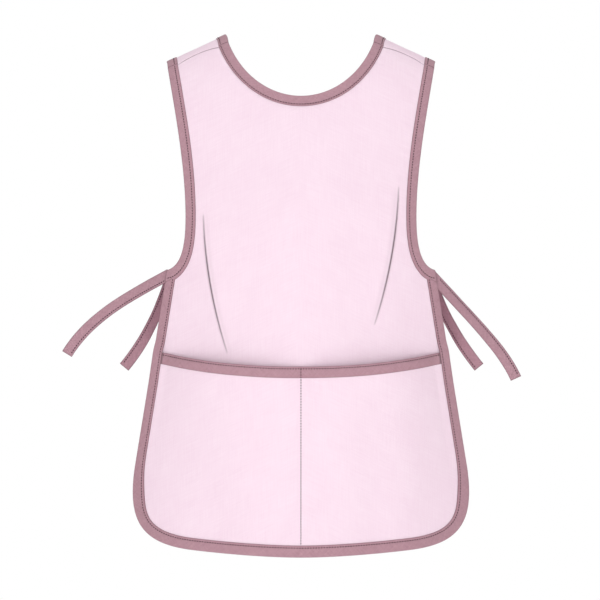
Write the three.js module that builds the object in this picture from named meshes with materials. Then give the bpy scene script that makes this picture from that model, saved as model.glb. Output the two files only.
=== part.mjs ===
// A cobbler-style bib apron as it hangs when worn: a front and a back panel joined at the shoulders, every
// edge bound with folded tape, a two-part pocket across the lower front and a pair of ties at each side.
// Millimetres, +Z up, front towards -Y. The origin lies midway between the neck points of the shoulders.
import * as THREE from "three";

// Cloth walls and the room between layers
const PANEL_WALL = 1.2;
const TAPE_WALL = 1.0;
const TIE_WALL = 2.0;
const SLIP = 0.6; // between a tape and the cloth folded into it
const SEAM_GAP = 0.8; // across the shoulder seam, measured down the cloth
const RAW_INSET = TAPE_WALL + SLIP; // from the fold of a tape to the raw edge inside it
const TAPE_WIDTH = { neck: 14.5, armhole: 15, hem: 16, pocket: 16.3 };

// Neckline: an arc round a point above the shoulders
const NECK_RADIUS = 108.5;
const NECK_CENTRE_Z = 23;
const NECK_HALF = Math.sqrt(NECK_RADIUS ** 2 - NECK_CENTRE_Z ** 2);
const NECK_BOTTOM_Z = NECK_CENTRE_Z - NECK_RADIUS;

// Outer edge of the right half seen from the front: knots with the reach of their curve handles
const EDGE_KNOTS = [
  { at: "shoulder tip", x: 190, z: -39, beforeX: 0, beforeZ: 0, afterX: -12.5, afterZ: -75 },
  { at: "chest", x: 163.4, z: -258, beforeX: 0, beforeZ: 70, afterX: 0, afterZ: -46 },
  { at: "underarm", x: 189.5, z: -334, beforeX: -18, beforeZ: 6, afterX: 14.5, afterZ: -89 },
  { at: "end of flare", x: 233.5, z: -607, beforeX: -14.5, beforeZ: 89, afterX: 13.7, afterZ: -84 },
  { at: "start of hem", x: 150, z: -728.5, beforeX: 71, beforeZ: 11, afterX: -50, afterZ: -7.7 },
  { at: "centre of hem", x: 0, z: -740, beforeX: 50, beforeZ: 0, afterX: 0, afterZ: 0 },
];
const [shoulderTip, , underarm, flareEnd, , hemCentre] = EDGE_KNOTS;
const HEM_RADIUS = 985;
const CORNER_MIDDLE = 0.5; // share of the corner's curve where the side ends and the hem starts
const BACK_TUCK = 4; // the back is cut this much smaller all round, from nothing at the shoulder
const BACK_TUCK_RUN = 120; // drop over which that grows

// Shoulders: the cloth turns over an arch, and the seam lies in front of the fold
const SHOULDER_FALL = -shoulderTip.z / (shoulderTip.x - NECK_HALF);
const ARCH_HEIGHT = 110;
const ARCH_LENGTH = (ARCH_HEIGHT * Math.PI) / 2;
const SEAM_DROP = { neck: 13, tip: 10 };

// Depth of the worn form by its drop below the neck points: at the centre front, at the centre back, and
// how far the cloth falls back towards the sides at SIDE_FALL_AT from the centre
const SIDE_FALL_AT = 200;
const BODY = [
  { drop: 0, front: 82, back: 80, sideFall: 14 },
  { drop: 90, front: 90, back: 88, sideFall: 20 },
  { drop: 240, front: 118, back: 102, sideFall: 46 },
  { drop: 340, front: 118, back: 98, sideFall: 58 },
  { drop: 520, front: 112, back: 98, sideFall: 60 },
  { drop: 740, front: 122, back: 110, sideFall: 62 },
];

// Soft drag folds down the front, each a bent line with a gentle inner and a steeper outer flank
const FOLDS = [
  { topX: -138.4, bendX: -138, footX: -101.6, topZ: -253, footZ: -451, lift: 7 },
  { topX: 139.1, bendX: 134.2, footX: 103.7, topZ: -214.6, footZ: -411, lift: 7 },
];
const FOLD_FLANK = { inner: 30, outer: 8 };

// Pocket: its top dips in an arc, its sides and foot are caught in the hem tape, and its centre is sewn down
const POCKET_TOP_RADIUS = 964;
const POCKET_TOP_Z = -470; // at the centre
const POCKET_GAP = 0.6; // from the front panel where the two are sewn together
const POCKET_GAPE = 13; // most that each half stands open at the top
const POCKET_GAPE_SHAPE = { across: 0.8, up: 0.9 }; // under 1 is fuller than a plain wave and a plain wedge
const POCKET_SEWN_SIDE = 24;
const POCKET_SEWN_FOOT = 46;
const POCKET_TAPE_ROOM = 2.2; // the tape's inner leg holds the top edge off the panel
const POCKET_TAPE_FADE = 45; // drop below the top over which that room closes

// Ties: straps that leave the side edge below the underarm. Reach and the angles below the horizontal are
// as seen from the front, ease delays the turn between the angles, and sway is the depth that each gains.
const TIE_WIDTH = 16;
const TIE_TUCK = 8; // length sewn behind the edge
const TIE_SEAT_GAP = 0.5;
const TIE_FOLLOWS = 12; // depth over which a tie keeps to the curve of the panel before it levels out
const TIES = [
  { at: "front_left", face: 1, hand: -1, rootZ: -344, reach: 178, from: 24, to: 57, ease: 1.6, sway: 46 },
  { at: "front_right", face: 1, hand: 1, rootZ: -349, reach: 178, from: 47, to: 62, ease: 3, sway: 46 },
  { at: "back_left", face: -1, hand: -1, rootZ: -359, reach: 128, from: 70, to: 50, ease: 1.4, sway: 34 },
  { at: "back_right", face: -1, hand: 1, rootZ: -365, reach: 123, from: 68, to: 49, ease: 1, sway: 34 },
];
const TIE_STEPS = 14;
const TIE_TURNS_FROM = 3; // the step where a tie starts to turn its face square to the front

// Where the hem tape is cut under the end of the armhole tape
const UNDERARM_CUT_ANGLE = 26;
const UNDERARM_CUT_GAP = 1;

// Steps of the cloth grid
const STEPS = {
  neck: 9, bib: 9, pocket: 7, armhole: 16, upperSide: 2, lowerSide: 3, corner: 4, overShoulder: 4,
};
const COLUMNS = [0, 0.09, 0.22, 0.36, 0.5, 0.63, 0.75, 0.84, 0.92, 1];
const END_CROWDING = 0.4; // draws the steps together at both ends of the armhole
const SLOPE_STEP = 0.05; // half the span over which a sheet's slope is measured
const SEAM_PRECISION = 1e-6; // share of an edge to which the seam's crossing is found

const CLOTH = { color: 0xfbe5f1, roughness: 0.85, metalness: 0 };
const TAPE = { color: 0xb78f9a, roughness: 0.75, metalness: 0 };
const radians = THREE.MathUtils.degToRad;

// The shoulder fold as a line seen from the front
const ridgeHeight = (x) => (NECK_HALF - Math.abs(x)) * SHOULDER_FALL;

const body = new THREE.CubicInterpolant(
  BODY.map((row) => row.drop),
  BODY.flatMap((row) => [row.front, row.back, row.sideFall]),
  3,
  new Float64Array(3),
);

// How far the drag folds lift the front panel
function foldLift(x, z) {
  let lift = 0;
  for (const fold of FOLDS) {
    const t = (fold.topZ - z) / (fold.topZ - fold.footZ);
    if (t <= 0 || t >= 1) continue;
    const lineX = fold.topX * (1 - t) ** 2 + fold.bendX * 2 * t * (1 - t) + fold.footX * t ** 2;
    const outward = (x - lineX) * Math.sign(lineX);
    const flank = outward > 0 ? FOLD_FLANK.outer : FOLD_FLANK.inner;
    lift += fold.lift * Math.sin(Math.PI * t) ** 2 * Math.exp(-((outward / flank) ** 2));
  }
  return lift;
}

// A sheet of cloth: points by distance from the centre line and by length down the cloth from the shoulder
// fold, positive down the front and negative down the back
class Sheet {
  constructor(point) {
    this.point = point;
  }

  slopes(x, hang) {
    const difference = (after, before) => after.sub(before).divideScalar(2 * SLOPE_STEP);
    return {
      across: difference(this.point(x + SLOPE_STEP, hang), this.point(x - SLOPE_STEP, hang)),
      down: difference(this.point(x, hang + SLOPE_STEP), this.point(x, hang - SLOPE_STEP)),
    };
  }

  normal(x, hang) {
    const { across, down } = this.slopes(x, hang);
    return down.cross(across).normalize();
  }

  raised(x, hang, height) {
    return this.point(x, hang).addScaledVector(this.normal(x, hang), height);
  }

  // The step in x and hang that moves one millimetre along a direction in the surface
  stepAlong(x, hang, direction) {
    const { across, down } = this.slopes(x, hang);
    const [aa, ad, dd] = [across.dot(across), across.dot(down), down.dot(down)];
    const [da, db] = [direction.dot(across), direction.dot(down)];
    const scale = 1 / (aa * dd - ad * ad);
    return { x: (da * dd - db * ad) * scale, hang: (db * aa - da * ad) * scale };
  }
}

function hangToDrop(hang) {
  const length = Math.abs(hang);
  if (length > ARCH_LENGTH) return ARCH_HEIGHT + length - ARCH_LENGTH;
  return ARCH_HEIGHT * (1 - Math.cos(length / ARCH_HEIGHT));
}

function dropToHang(drop) {
  if (drop > ARCH_HEIGHT) return ARCH_LENGTH + drop - ARCH_HEIGHT;
  return ARCH_HEIGHT * Math.acos(1 - Math.max(drop, 0) / ARCH_HEIGHT);
}

const heightAt = (x, hang) => ridgeHeight(x) - hangToDrop(hang);
const spotAt = (x, z, face) => ({ x, hang: face * dropToHang(ridgeHeight(x) - z) });

const panelSheet = new Sheet((x, hang) => {
  const z = heightAt(x, hang);
  const [front, back, sideFall] = body.evaluate(-z);
  const turn = Math.sin(Math.min(Math.abs(hang), ARCH_LENGTH) / ARCH_HEIGHT);
  const fall = sideFall * (x / SIDE_FALL_AT) ** 2;
  if (hang < 0) return new THREE.Vector3(x, (back - fall) * turn, z);
  return new THREE.Vector3(x, -(front - fall) * turn - foldLift(x, z), z);
});

// Height of an arc whose lowest point lies on the centre line
const arcHeight = (x, lowest, radius) => lowest + radius - Math.sqrt(radius ** 2 - x ** 2);
const pocketTopHeight = (x) => arcHeight(x, POCKET_TOP_Z, POCKET_TOP_RADIUS);
const hemHeight = (x) => arcHeight(x, hemCentre.z, HEM_RADIUS);

// Distance between the middles of the front panel and the pocket cloth
function pocketRise(x, z) {
  const edgeX = THREE.MathUtils.mapLinear(z, underarm.z, flareEnd.z, underarm.x, flareEnd.x);
  const footZ = hemHeight(x) + POCKET_SEWN_FOOT;
  const below = Math.max(pocketTopHeight(x) - z, 0);
  const across = THREE.MathUtils.clamp(Math.abs(x) / (edgeX - POCKET_SEWN_SIDE), 0, 1);
  const up = THREE.MathUtils.clamp((z - footZ) / (pocketTopHeight(x) - footZ), 0, 1);
  const bow = Math.sin(Math.PI * across) ** POCKET_GAPE_SHAPE.across;
  const gape = POCKET_GAPE * bow * up ** POCKET_GAPE_SHAPE.up;
  const tapeRoom = POCKET_TAPE_ROOM * Math.max(1 - below / POCKET_TAPE_FADE, 0);
  return PANEL_WALL + POCKET_GAP + tapeRoom + gape;
}

const pocketSheet = new Sheet((x, hang) => panelSheet.raised(x, hang, pocketRise(x, heightAt(x, hang))));

// A closed body from points and triangles, turned so that its faces point out
function solid(points, triangles) {
  let volume = 0;
  for (const [a, b, c] of triangles) volume += points[a].dot(points[b].clone().cross(points[c]));
  const index = volume > 0 ? triangles.flat() : triangles.flatMap(([a, b, c]) => [a, c, b]);
  const geometry = new THREE.BufferGeometry().setFromPoints(points);
  geometry.setIndex(index);
  geometry.computeVertexNormals();
  return geometry;
}

// A wall of cloth over a grid of spots: both faces, and a rim along every open edge
function clothWall(sheet, spots, quads, wall) {
  const face = (level) => spots.map(({ x, hang }) => sheet.raised(x, hang, level));
  const points = [...face(wall / 2), ...face(-wall / 2)];
  const under = spots.length;
  const triangles = [];
  const rim = new Map();
  for (const [a, b, c, d] of quads) {
    triangles.push([a, b, c], [a, c, d]);
    triangles.push([a + under, c + under, b + under], [a + under, d + under, c + under]);
    for (const [p, q] of [[a, b], [b, c], [c, d], [d, a]]) {
      if (!rim.delete(`${q},${p}`)) rim.set(`${p},${q}`, [p, q]);
    }
  }
  for (const [p, q] of rim.values()) triangles.push([q, p, p + under], [q, p + under, q + under]);
  return solid(points, triangles);
}

// A section carried along: one ring of points at each station, closed by a cap at both ends
function carried(rings, section) {
  const size = section.length;
  const triangles = [];
  for (let station = 0; station < rings.length - 1; station++) {
    for (let corner = 0; corner < size; corner++) {
      const [a, b] = [station * size + corner, station * size + ((corner + 1) % size)];
      triangles.push([a, b, b + size], [a, b + size, a + size]);
    }
  }
  const last = (rings.length - 1) * size;
  for (const [a, b, c] of THREE.ShapeUtils.triangulateShape(section, [])) {
    triangles.push([a, c, b], [a + last, b + last, c + last]);
  }
  return solid(rings.flat(), triangles);
}

// Direction from a tape's fold into the cloth at each spot of its track
function inwardAt(sheet, track, station, hand) {
  const before = track[Math.max(station - 1, 0)];
  const after = track[Math.min(station + 1, track.length - 1)];
  const { x, hang } = track[station];
  const along = sheet.point(after.x, after.hang).sub(sheet.point(before.x, before.hang));
  return along.cross(sheet.normal(x, hang)).normalize().multiplyScalar(hand);
}

// The track moved into the cloth by a distance that may differ from spot to spot
function drawnIn(sheet, track, hand, distanceAt) {
  return track.map((spot, station) => {
    const step = sheet.stepAlong(spot.x, spot.hang, inwardAt(sheet, track, station, hand));
    const distance = distanceAt(spot);
    return { x: spot.x + step.x * distance, hang: spot.hang + step.hang * distance };
  });
}

// A tape folded over an edge: two legs that lie on the cloth and a spine past its raw edge.
// coverAt gives the reach of what the outer leg covers, and cuts the slanted directions of the two ends.
function foldedTape(sheet, track, hand, width, coverAt, cuts = {}) {
  const inner = PANEL_WALL / 2 + SLIP;
  const sectionAt = (outer) => [
    [0, outer + TAPE_WALL],
    [0, -inner - TAPE_WALL],
    [width, -inner - TAPE_WALL],
    [width, -inner],
    [TAPE_WALL, -inner],
    [TAPE_WALL, outer],
    [width, outer],
    [width, outer + TAPE_WALL],
  ];
  const rings = track.map(({ x, hang }, station) => {
    const square = inwardAt(sheet, track, station, hand);
    const direction = cuts[station] ? cuts[station].clone().normalize() : square;
    const step = sheet.stepAlong(x, hang, direction.clone().divideScalar(direction.dot(square)));
    const section = sectionAt(coverAt(x, hang) + SLIP);
    const corner = ([inset, level]) => sheet.raised(x + step.x * inset, hang + step.hang * inset, level);
    return section.map(corner);
  });
  const flat = sectionAt(inner).map(([inset, level]) => new THREE.Vector2(inset, level));
  return carried(rings, flat);
}

// Neckline from the shoulder fold (0) to its lowest point (1)
function neckAt(t) {
  const start = Math.asin(-NECK_CENTRE_Z / NECK_RADIUS);
  const angle = THREE.MathUtils.lerp(start, -Math.PI / 2, t);
  return { x: NECK_RADIUS * Math.cos(angle), z: NECK_CENTRE_Z + NECK_RADIUS * Math.sin(angle) };
}

const edgeCurves = EDGE_KNOTS.slice(1).map((knot, place) => {
  const from = EDGE_KNOTS[place];
  return new THREE.CubicBezierCurve(
    new THREE.Vector2(from.x, from.z),
    new THREE.Vector2(from.x + from.afterX, from.z + from.afterZ),
    new THREE.Vector2(knot.x + knot.beforeX, knot.z + knot.beforeZ),
    new THREE.Vector2(knot.x, knot.z),
  );
});
const [upperArmhole, armholeFoot, side, corner, hem] = edgeCurves;

const armhole = new THREE.CurvePath();
armhole.curves.push(upperArmhole, armholeFoot);

// Armhole from the shoulder fold (0) to the underarm (1)
function armholeAt(t) {
  const { x, y } = armhole.getPoint(t);
  return { x, z: y };
}

// The place on an edge where the shoulder seam crosses it
function seamPlace(edgeAt, drop) {
  let [low, high] = [0, 1];
  while (high - low > SEAM_PRECISION) {
    const middle = (low + high) / 2;
    const { x, z } = edgeAt(middle);
    if (ridgeHeight(x) - z < drop) low = middle;
    else high = middle;
  }
  return low;
}

const fractions = (steps) => Array.from({ length: steps + 1 }, (_, step) => step / steps);
const crowded = (t) => t - (END_CROWDING * Math.sin(2 * Math.PI * t)) / (2 * Math.PI);
const mirrored = (track) => track.map(({ x, hang }) => ({ x: -x, hang }));

// The upper edge of one panel, from the shoulder seam down: the front starts just below the seam, and the
// back starts just above it and runs over the fold
function upperEdge(edgeAt, seamDrop, face, steps, spacing) {
  const seam = seamPlace(edgeAt, seamDrop);
  const spot = (t, onFace) => spotAt(edgeAt(t).x, edgeAt(t).z, onFace);
  const shifted = ({ x, hang }) => ({ x, hang: hang + (face * SEAM_GAP) / 2 });
  if (face > 0) {
    const places = fractions(steps).map((t) => THREE.MathUtils.lerp(seam, 1, spacing(t)));
    const [first, ...rest] = places.map((place) => spot(place, 1));
    return [shifted(first), ...rest];
  }
  const over = fractions(STEPS.overShoulder).map((t) => {
    const crossing = spot(seam, 1);
    return { x: THREE.MathUtils.lerp(crossing.x, edgeAt(0).x, t), hang: crossing.hang * (1 - t) };
  });
  const down = fractions(steps).slice(1).map((t) => spot(spacing(t), -1));
  return [shifted(over[0]), ...over.slice(1), ...down];
}

// Stretches of the right half's outline on one face, all as spots on the cloth
function outlineOf(face) {
  const onCurve = (curve, from, to, steps) =>
    fractions(steps).map((t) => {
      const { x, y } = curve.getPoint(THREE.MathUtils.lerp(from, to, t));
      return spotAt(x, y, face);
    });
  const sideSplit = (pocketTopHeight(SIDE_FALL_AT) - underarm.z) / (flareEnd.z - underarm.z);
  const splitAt = side.getUtoTmapping(sideSplit);
  const neck = upperEdge(neckAt, SEAM_DROP.neck, face, STEPS.neck, (t) => t);
  const centreSpots = (from, to, steps) =>
    fractions(steps).map((t) => spotAt(0, THREE.MathUtils.lerp(from, to, t), face));
  const outline = {
    neck,
    centre: [
      ...centreSpots(NECK_BOTTOM_Z, POCKET_TOP_Z, STEPS.bib),
      ...centreSpots(POCKET_TOP_Z, hemCentre.z, STEPS.pocket).slice(1),
    ],
    armhole: upperEdge(armholeAt, SEAM_DROP.tip, face, STEPS.armhole, crowded),
    side: [
      ...onCurve(side, 0, splitAt, STEPS.upperSide),
      ...onCurve(side, splitAt, 1, STEPS.lowerSide).slice(1),
      ...onCurve(corner, 0, CORNER_MIDDLE, STEPS.corner).slice(1),
    ],
    foot: footSpots(face),
  };
  return face > 0 ? outline : tuckedIn(outline);
}

// The hem from the centre to the middle of the rounded corner, at the grid's columns
function footSpots(face) {
  const path = new THREE.CurvePath();
  const places = fractions(STEPS.corner).map((t) => THREE.MathUtils.lerp(CORNER_MIDDLE, 1, t));
  path.curves.push(new THREE.SplineCurve(places.map((place) => corner.getPoint(place))), hem);
  return COLUMNS.map((column) => {
    const { x, y } = path.getPoint(1 - column);
    return spotAt(x, y, face);
  });
}

// The back's outline, drawn in from nothing at the shoulder fold so that the front hides it
function tuckedIn(outline) {
  const tuck = ({ hang }) => BACK_TUCK * THREE.MathUtils.clamp(-hang / BACK_TUCK_RUN, 0, 1);
  const outer = [...outline.armhole, ...outline.side.slice(1), ...outline.foot.slice(0, -1).reverse()];
  const drawn = drawnIn(panelSheet, outer, -1, tuck);
  const underarmAt = outline.armhole.length - 1;
  const cornerAt = underarmAt + outline.side.length - 1;
  const foot = drawn.slice(cornerAt).reverse();
  foot[0] = { x: 0, hang: foot[0].hang };
  const neck = drawnIn(panelSheet, outline.neck, 1, tuck);
  neck[neck.length - 1].x = 0;
  const centre = outline.centre.slice();
  centre[0] = neck[neck.length - 1];
  centre[centre.length - 1] = foot[0];
  const sides = { armhole: drawn.slice(0, underarmAt + 1), side: drawn.slice(underarmAt, cornerAt + 1) };
  return { neck, centre, ...sides, foot };
}

// The raw outline of a panel, inside the fold of its tapes
function rawOutline(outline, face) {
  const inset = () => RAW_INSET;
  const outer = [...outline.armhole, ...outline.side.slice(1), ...outline.foot.slice(0, -1).reverse()];
  const drawn = drawnIn(panelSheet, outer, face, inset);
  const cornerAt = outline.armhole.length + outline.side.length - 2;
  const foot = drawn.slice(cornerAt).reverse();
  foot[0].x = 0;
  const neck = drawnIn(panelSheet, outline.neck, -face, inset);
  neck[neck.length - 1].x = 0;
  // the raw shoulder edge keeps to the seam line
  const seam = (spot, first) => ({ x: spot.x, hang: first.hang });
  neck[0] = seam(neck[0], outline.neck[0]);
  drawn[0] = seam(drawn[0], outline.armhole[0]);
  const centre = outline.centre.slice(1);
  centre[centre.length - 1] = foot[0];
  const inner = [...neck, ...centre];
  return { inner, outer: drawn.slice(0, cornerAt + 1), foot, neckSteps: neck.length - 1 };
}

// Spots and quads of the whole width between an inner and an outer edge, both halves joined along the
// centre line. Rows run straight between the edges, and from blendFrom on they bend towards the foot's curve.
function clothGrid({ inner, outer, foot, neckSteps }, blendFrom, topRow = null) {
  const lastRow = inner.length - 1;
  const lerp = THREE.MathUtils.lerp;
  const between = (row, column) => ({
    x: lerp(inner[row].x, outer[row].x, column),
    hang: lerp(inner[row].hang, outer[row].hang, column),
  });
  const spots = [];
  const quads = [];
  const centreIndex = new Map();
  const spotFor = (row, place, hand) => {
    const column = COLUMNS[place];
    if (topRow && row === 0) return { x: hand * topRow[place].x, hang: topRow[place].hang };
    const straight = between(row, column);
    const footLine = between(lastRow, column);
    const weight = Math.max(0, (row - blendFrom) / (lastRow - blendFrom)) ** 2;
    const x = straight.x + weight * (foot[place].x - footLine.x);
    return { x: hand * x, hang: straight.hang + weight * (foot[place].hang - footLine.hang) };
  };
  for (const hand of [1, -1]) {
    const index = inner.map((_, row) =>
      COLUMNS.map((_, place) => {
        const onCentre = place === 0 && row >= neckSteps;
        if (onCentre && centreIndex.has(row)) return centreIndex.get(row);
        spots.push(spotFor(row, place, hand));
        if (onCentre) centreIndex.set(row, spots.length - 1);
        return spots.length - 1;
      }),
    );
    for (let row = 0; row < lastRow; row++) {
      for (let place = 0; place < COLUMNS.length - 1; place++) {
        const [upper, lower] = [index[row], index[row + 1]];
        const quad = [upper[place], upper[place + 1], lower[place + 1], lower[place]];
        quads.push(hand > 0 ? quad : quad.reverse());
      }
    }
  }
  return { spots, quads };
}

const outlines = { front: outlineOf(1), back: outlineOf(-1) };
const raw = { front: rawOutline(outlines.front, 1), back: rawOutline(outlines.back, -1) };
const rowsAboveFoot = STEPS.corner + STEPS.lowerSide;
const pocketHalf = raw.front.outer.at(-1 - STEPS.pocket).x; // half width at the pocket's top

function panelWall(edges) {
  const { spots, quads } = clothGrid(edges, edges.inner.length - 1 - rowsAboveFoot);
  return clothWall(panelSheet, spots, quads, PANEL_WALL);
}

// The pocket shares the lower rows of the front panel, under a top row of its own
function pocketWall() {
  const { inner, outer, foot } = raw.front;
  const first = inner.length - 1 - STEPS.pocket;
  const topRow = COLUMNS.map((column) => {
    const x = pocketHalf * column;
    return spotAt(x, pocketTopHeight(x) - RAW_INSET, 1);
  });
  const edges = { inner: inner.slice(first), outer: outer.slice(first), foot, neckSteps: 0 };
  const { spots, quads } = clothGrid(edges, 0, topRow);
  return clothWall(pocketSheet, spots, quads, PANEL_WALL);
}

const plainCover = () => PANEL_WALL / 2;

// Reach of the cloth under the hem tape's outer leg: the panel, and below the pocket's top the pocket too
function hemCover(x, hang) {
  const z = heightAt(x, hang);
  const overPocket = hang > 0 && z < pocketTopHeight(x) + RAW_INSET;
  return PANEL_WALL / 2 + (overPocket ? pocketRise(x, z) : 0);
}

// Direction in the cloth between two spots
function directionBetween(from, to) {
  return panelSheet.point(to.x, to.hang).sub(panelSheet.point(from.x, from.hang));
}

function neckTape(face) {
  const { neck } = outlines[face > 0 ? "front" : "back"];
  const across = mirrored(neck).slice(0, -1);
  const track = [...neck, ...across.reverse()];
  const seamLine = (hand) =>
    directionBetween(track[0], outlines.front.armhole[0]).multiply(new THREE.Vector3(hand, 1, 1));
  const cuts = { 0: seamLine(1), [track.length - 1]: seamLine(-1) };
  return foldedTape(panelSheet, track, -face, TAPE_WIDTH.neck, plainCover, cuts);
}

function armholeTape(face, hand) {
  const { armhole: edge, neck, side: sideEdge } = outlines[face > 0 ? "front" : "back"];
  const flip = new THREE.Vector3(hand, 1, 1);
  const track = hand > 0 ? edge : mirrored(edge);
  const cuts = {
    0: directionBetween(edge[0], neck[0]).multiply(flip),
    [track.length - 1]: directionBetween(sideEdge[0], sideEdge[1]).multiply(flip),
  };
  return foldedTape(panelSheet, track, face * hand, TAPE_WIDTH.armhole, plainCover, cuts);
}

// The hem tape starts under the armhole tape's end, where it is cut on a slant
function hemTape(face) {
  const { armhole: edge, side: sideEdge, foot } = outlines[face > 0 ? "front" : "back"];
  const downSide = directionBetween(sideEdge[0], sideEdge[1]).normalize();
  const intoArmhole = directionBetween(edge.at(-1), edge.at(-2)).normalize();
  const slant = downSide.clone().cross(intoArmhole).length();
  const start = TAPE_WIDTH.armhole / slant + UNDERARM_CUT_GAP;
  const step = panelSheet.stepAlong(sideEdge[0].x, sideEdge[0].hang, downSide);
  const top = { x: sideEdge[0].x + step.x * start, hang: sideEdge[0].hang + step.hang * start };
  const half = [top, ...sideEdge.slice(1), ...foot.slice(0, -1).reverse()];
  const track = [...half, ...mirrored(half).slice(0, -1).reverse()];
  const cutAngle = radians(UNDERARM_CUT_ANGLE);
  const inward = inwardAt(panelSheet, track, 0, face);
  const cut = new THREE.Vector3(inward.x, inward.y, 0).normalize().multiplyScalar(Math.cos(cutAngle));
  cut.z = Math.sin(cutAngle);
  const cuts = { 0: cut, [track.length - 1]: cut.clone().multiply(new THREE.Vector3(-1, 1, 1)) };
  return foldedTape(panelSheet, track, face, TAPE_WIDTH.hem, hemCover, cuts);
}

// The pocket's tape runs between the inner edges of the hem tape
function pocketTape() {
  const { side: sideEdge } = outlines.front;
  const end = sideEdge[STEPS.upperSide];
  const step = panelSheet.stepAlong(end.x, end.hang, inwardAt(panelSheet, sideEdge, STEPS.upperSide, 1));
  const endX = end.x + step.x * (TAPE_WIDTH.hem + SLIP);
  const places = [...COLUMNS.slice(0, -1).map((column) => pocketHalf * column), endX];
  const wholeWidth = [...places.slice(1).reverse().map((x) => -x), ...places];
  const track = wholeWidth.map((x) => spotAt(x, pocketTopHeight(x), 1));
  return foldedTape(pocketSheet, track, 1, TAPE_WIDTH.pocket, plainCover);
}

// A flat strap whose root is sewn behind the side edge. Seen from the front it swings from one angle to the
// other. It keeps to the curve of the panel as it leaves, then levels out at its sway.
function tieStrap({ face, hand, rootZ, reach, from, to, ease, sway }) {
  const [top, next] = outlines[face > 0 ? "front" : "back"].side;
  const [topZ, nextZ] = [heightAt(top.x, top.hang), heightAt(next.x, next.hang)];
  const rootX = hand * THREE.MathUtils.mapLinear(rootZ, topZ, nextZ, top.x, next.x);
  const seat = -(PANEL_WALL / 2 + SLIP + TAPE_WALL + TIE_SEAT_GAP + TIE_WALL / 2);
  const behindPanel = ({ x, y: z }) => {
    const { hang } = spotAt(x, z, face);
    const normal = panelSheet.normal(x, hang);
    return { depth: panelSheet.point(x, hang).y + seat / normal.y, normal };
  };
  const stride = (angle, length) =>
    new THREE.Vector2(hand * Math.cos(angle), -Math.sin(angle)).multiplyScalar(length);

  const root = new THREE.Vector2(rootX, rootZ);
  const seenPath = [root.clone().sub(stride(radians(from), TIE_TUCK)), root];
  for (let step = 0; step < TIE_STEPS; step++) {
    const angle = from + (to - from) * ((step + 0.5) / TIE_STEPS) ** ease;
    seenPath.push(seenPath.at(-1).clone().add(stride(radians(angle), reach / TIE_STEPS)));
  }

  const rootDepth = behindPanel(root).depth;
  const levelled = (depth) => {
    if (depth < TIE_FOLLOWS) return depth;
    const rest = sway - TIE_FOLLOWS;
    return TIE_FOLLOWS + rest * (1 - Math.exp((TIE_FOLLOWS - depth) / rest));
  };
  const stations = seenPath.map((seen, step) => {
    const { depth, normal } = behindPanel(seen);
    const y = rootDepth + face * levelled(face * (depth - rootDepth));
    const turned = THREE.MathUtils.smoothstep(step, TIE_TURNS_FROM, TIE_STEPS);
    normal.lerp(new THREE.Vector3(0, -face, 0), turned);
    return { point: new THREE.Vector3(seen.x, y, seen.y), normal };
  });

  const [halfWidth, halfWall] = [TIE_WIDTH / 2, TIE_WALL / 2];
  const section = [[1, 1], [-1, 1], [-1, -1], [1, -1]].map(
    ([across, up]) => new THREE.Vector2(across * halfWidth, up * halfWall),
  );
  const rings = stations.map(({ point, normal }, station) => {
    const before = stations[Math.max(station - 1, 0)].point;
    const after = stations[Math.min(station + 1, stations.length - 1)].point;
    const along = after.clone().sub(before).normalize();
    const across = along.clone().cross(normal).normalize();
    const up = across.clone().cross(along);
    return section.map(({ x, y }) => point.clone().addScaledVector(across, x).addScaledVector(up, y));
  });
  return carried(rings, section);
}

const apron = new THREE.Group();

function addPiece(name, geometry, finish) {
  const piece = new THREE.Mesh(geometry, new THREE.MeshStandardMaterial(finish));
  piece.name = name;
  apron.add(piece);
}

addPiece("front_panel", panelWall(raw.front), CLOTH);
addPiece("back_panel", panelWall(raw.back), CLOTH);
addPiece("pocket_panel", pocketWall(), CLOTH);
addPiece("pocket_binding", pocketTape(), TAPE);
for (const [word, face] of [["front", 1], ["back", -1]]) {
  addPiece(`neck_binding_${word}`, neckTape(face), TAPE);
  addPiece(`armhole_binding_${word}_left`, armholeTape(face, -1), TAPE);
  addPiece(`armhole_binding_${word}_right`, armholeTape(face, 1), TAPE);
  addPiece(`hem_binding_${word}`, hemTape(face), TAPE);
}
for (const tie of TIES) addPiece(`tie_${tie.at}`, tieStrap(tie), TAPE);

export default apron;
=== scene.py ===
"""Looks of a pull-over bib apron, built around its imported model.

The cloth hangs as it does when worn: two panels joined at the shoulders, folded tape on every edge, a divided
pocket across the lower front and a pair of ties at each side. Sizes in the classes are millimetres, and
meshes go into Blender in metres. Left and right are as seen from the front: +X is right, and the front
faces -Y.

A spot of cloth is a pair (x, hang): the distance from the centre line, and the length down the cloth from the
shoulder fold, positive down the front and negative down the back. Arrays of spots have the pair as last axis.
"""
import logging
from dataclasses import dataclass, field, replace
from enum import Enum
from typing import Any, Sequence

import bpy
import numpy as np
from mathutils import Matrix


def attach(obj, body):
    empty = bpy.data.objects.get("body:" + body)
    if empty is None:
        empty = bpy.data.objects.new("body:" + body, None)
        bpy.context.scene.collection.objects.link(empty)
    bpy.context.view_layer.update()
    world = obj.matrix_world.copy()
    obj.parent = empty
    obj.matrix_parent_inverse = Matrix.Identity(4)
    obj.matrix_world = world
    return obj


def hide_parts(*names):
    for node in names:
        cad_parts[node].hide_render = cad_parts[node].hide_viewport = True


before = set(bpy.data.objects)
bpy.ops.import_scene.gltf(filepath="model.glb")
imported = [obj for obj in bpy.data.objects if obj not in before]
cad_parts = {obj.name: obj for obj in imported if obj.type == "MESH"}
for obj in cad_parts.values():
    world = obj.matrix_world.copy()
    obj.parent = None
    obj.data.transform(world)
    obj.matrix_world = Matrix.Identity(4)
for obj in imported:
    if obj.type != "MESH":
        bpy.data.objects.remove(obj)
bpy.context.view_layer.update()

Array = np.ndarray
Pair = tuple[float, float]
Triple = tuple[float, float, float]

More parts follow.
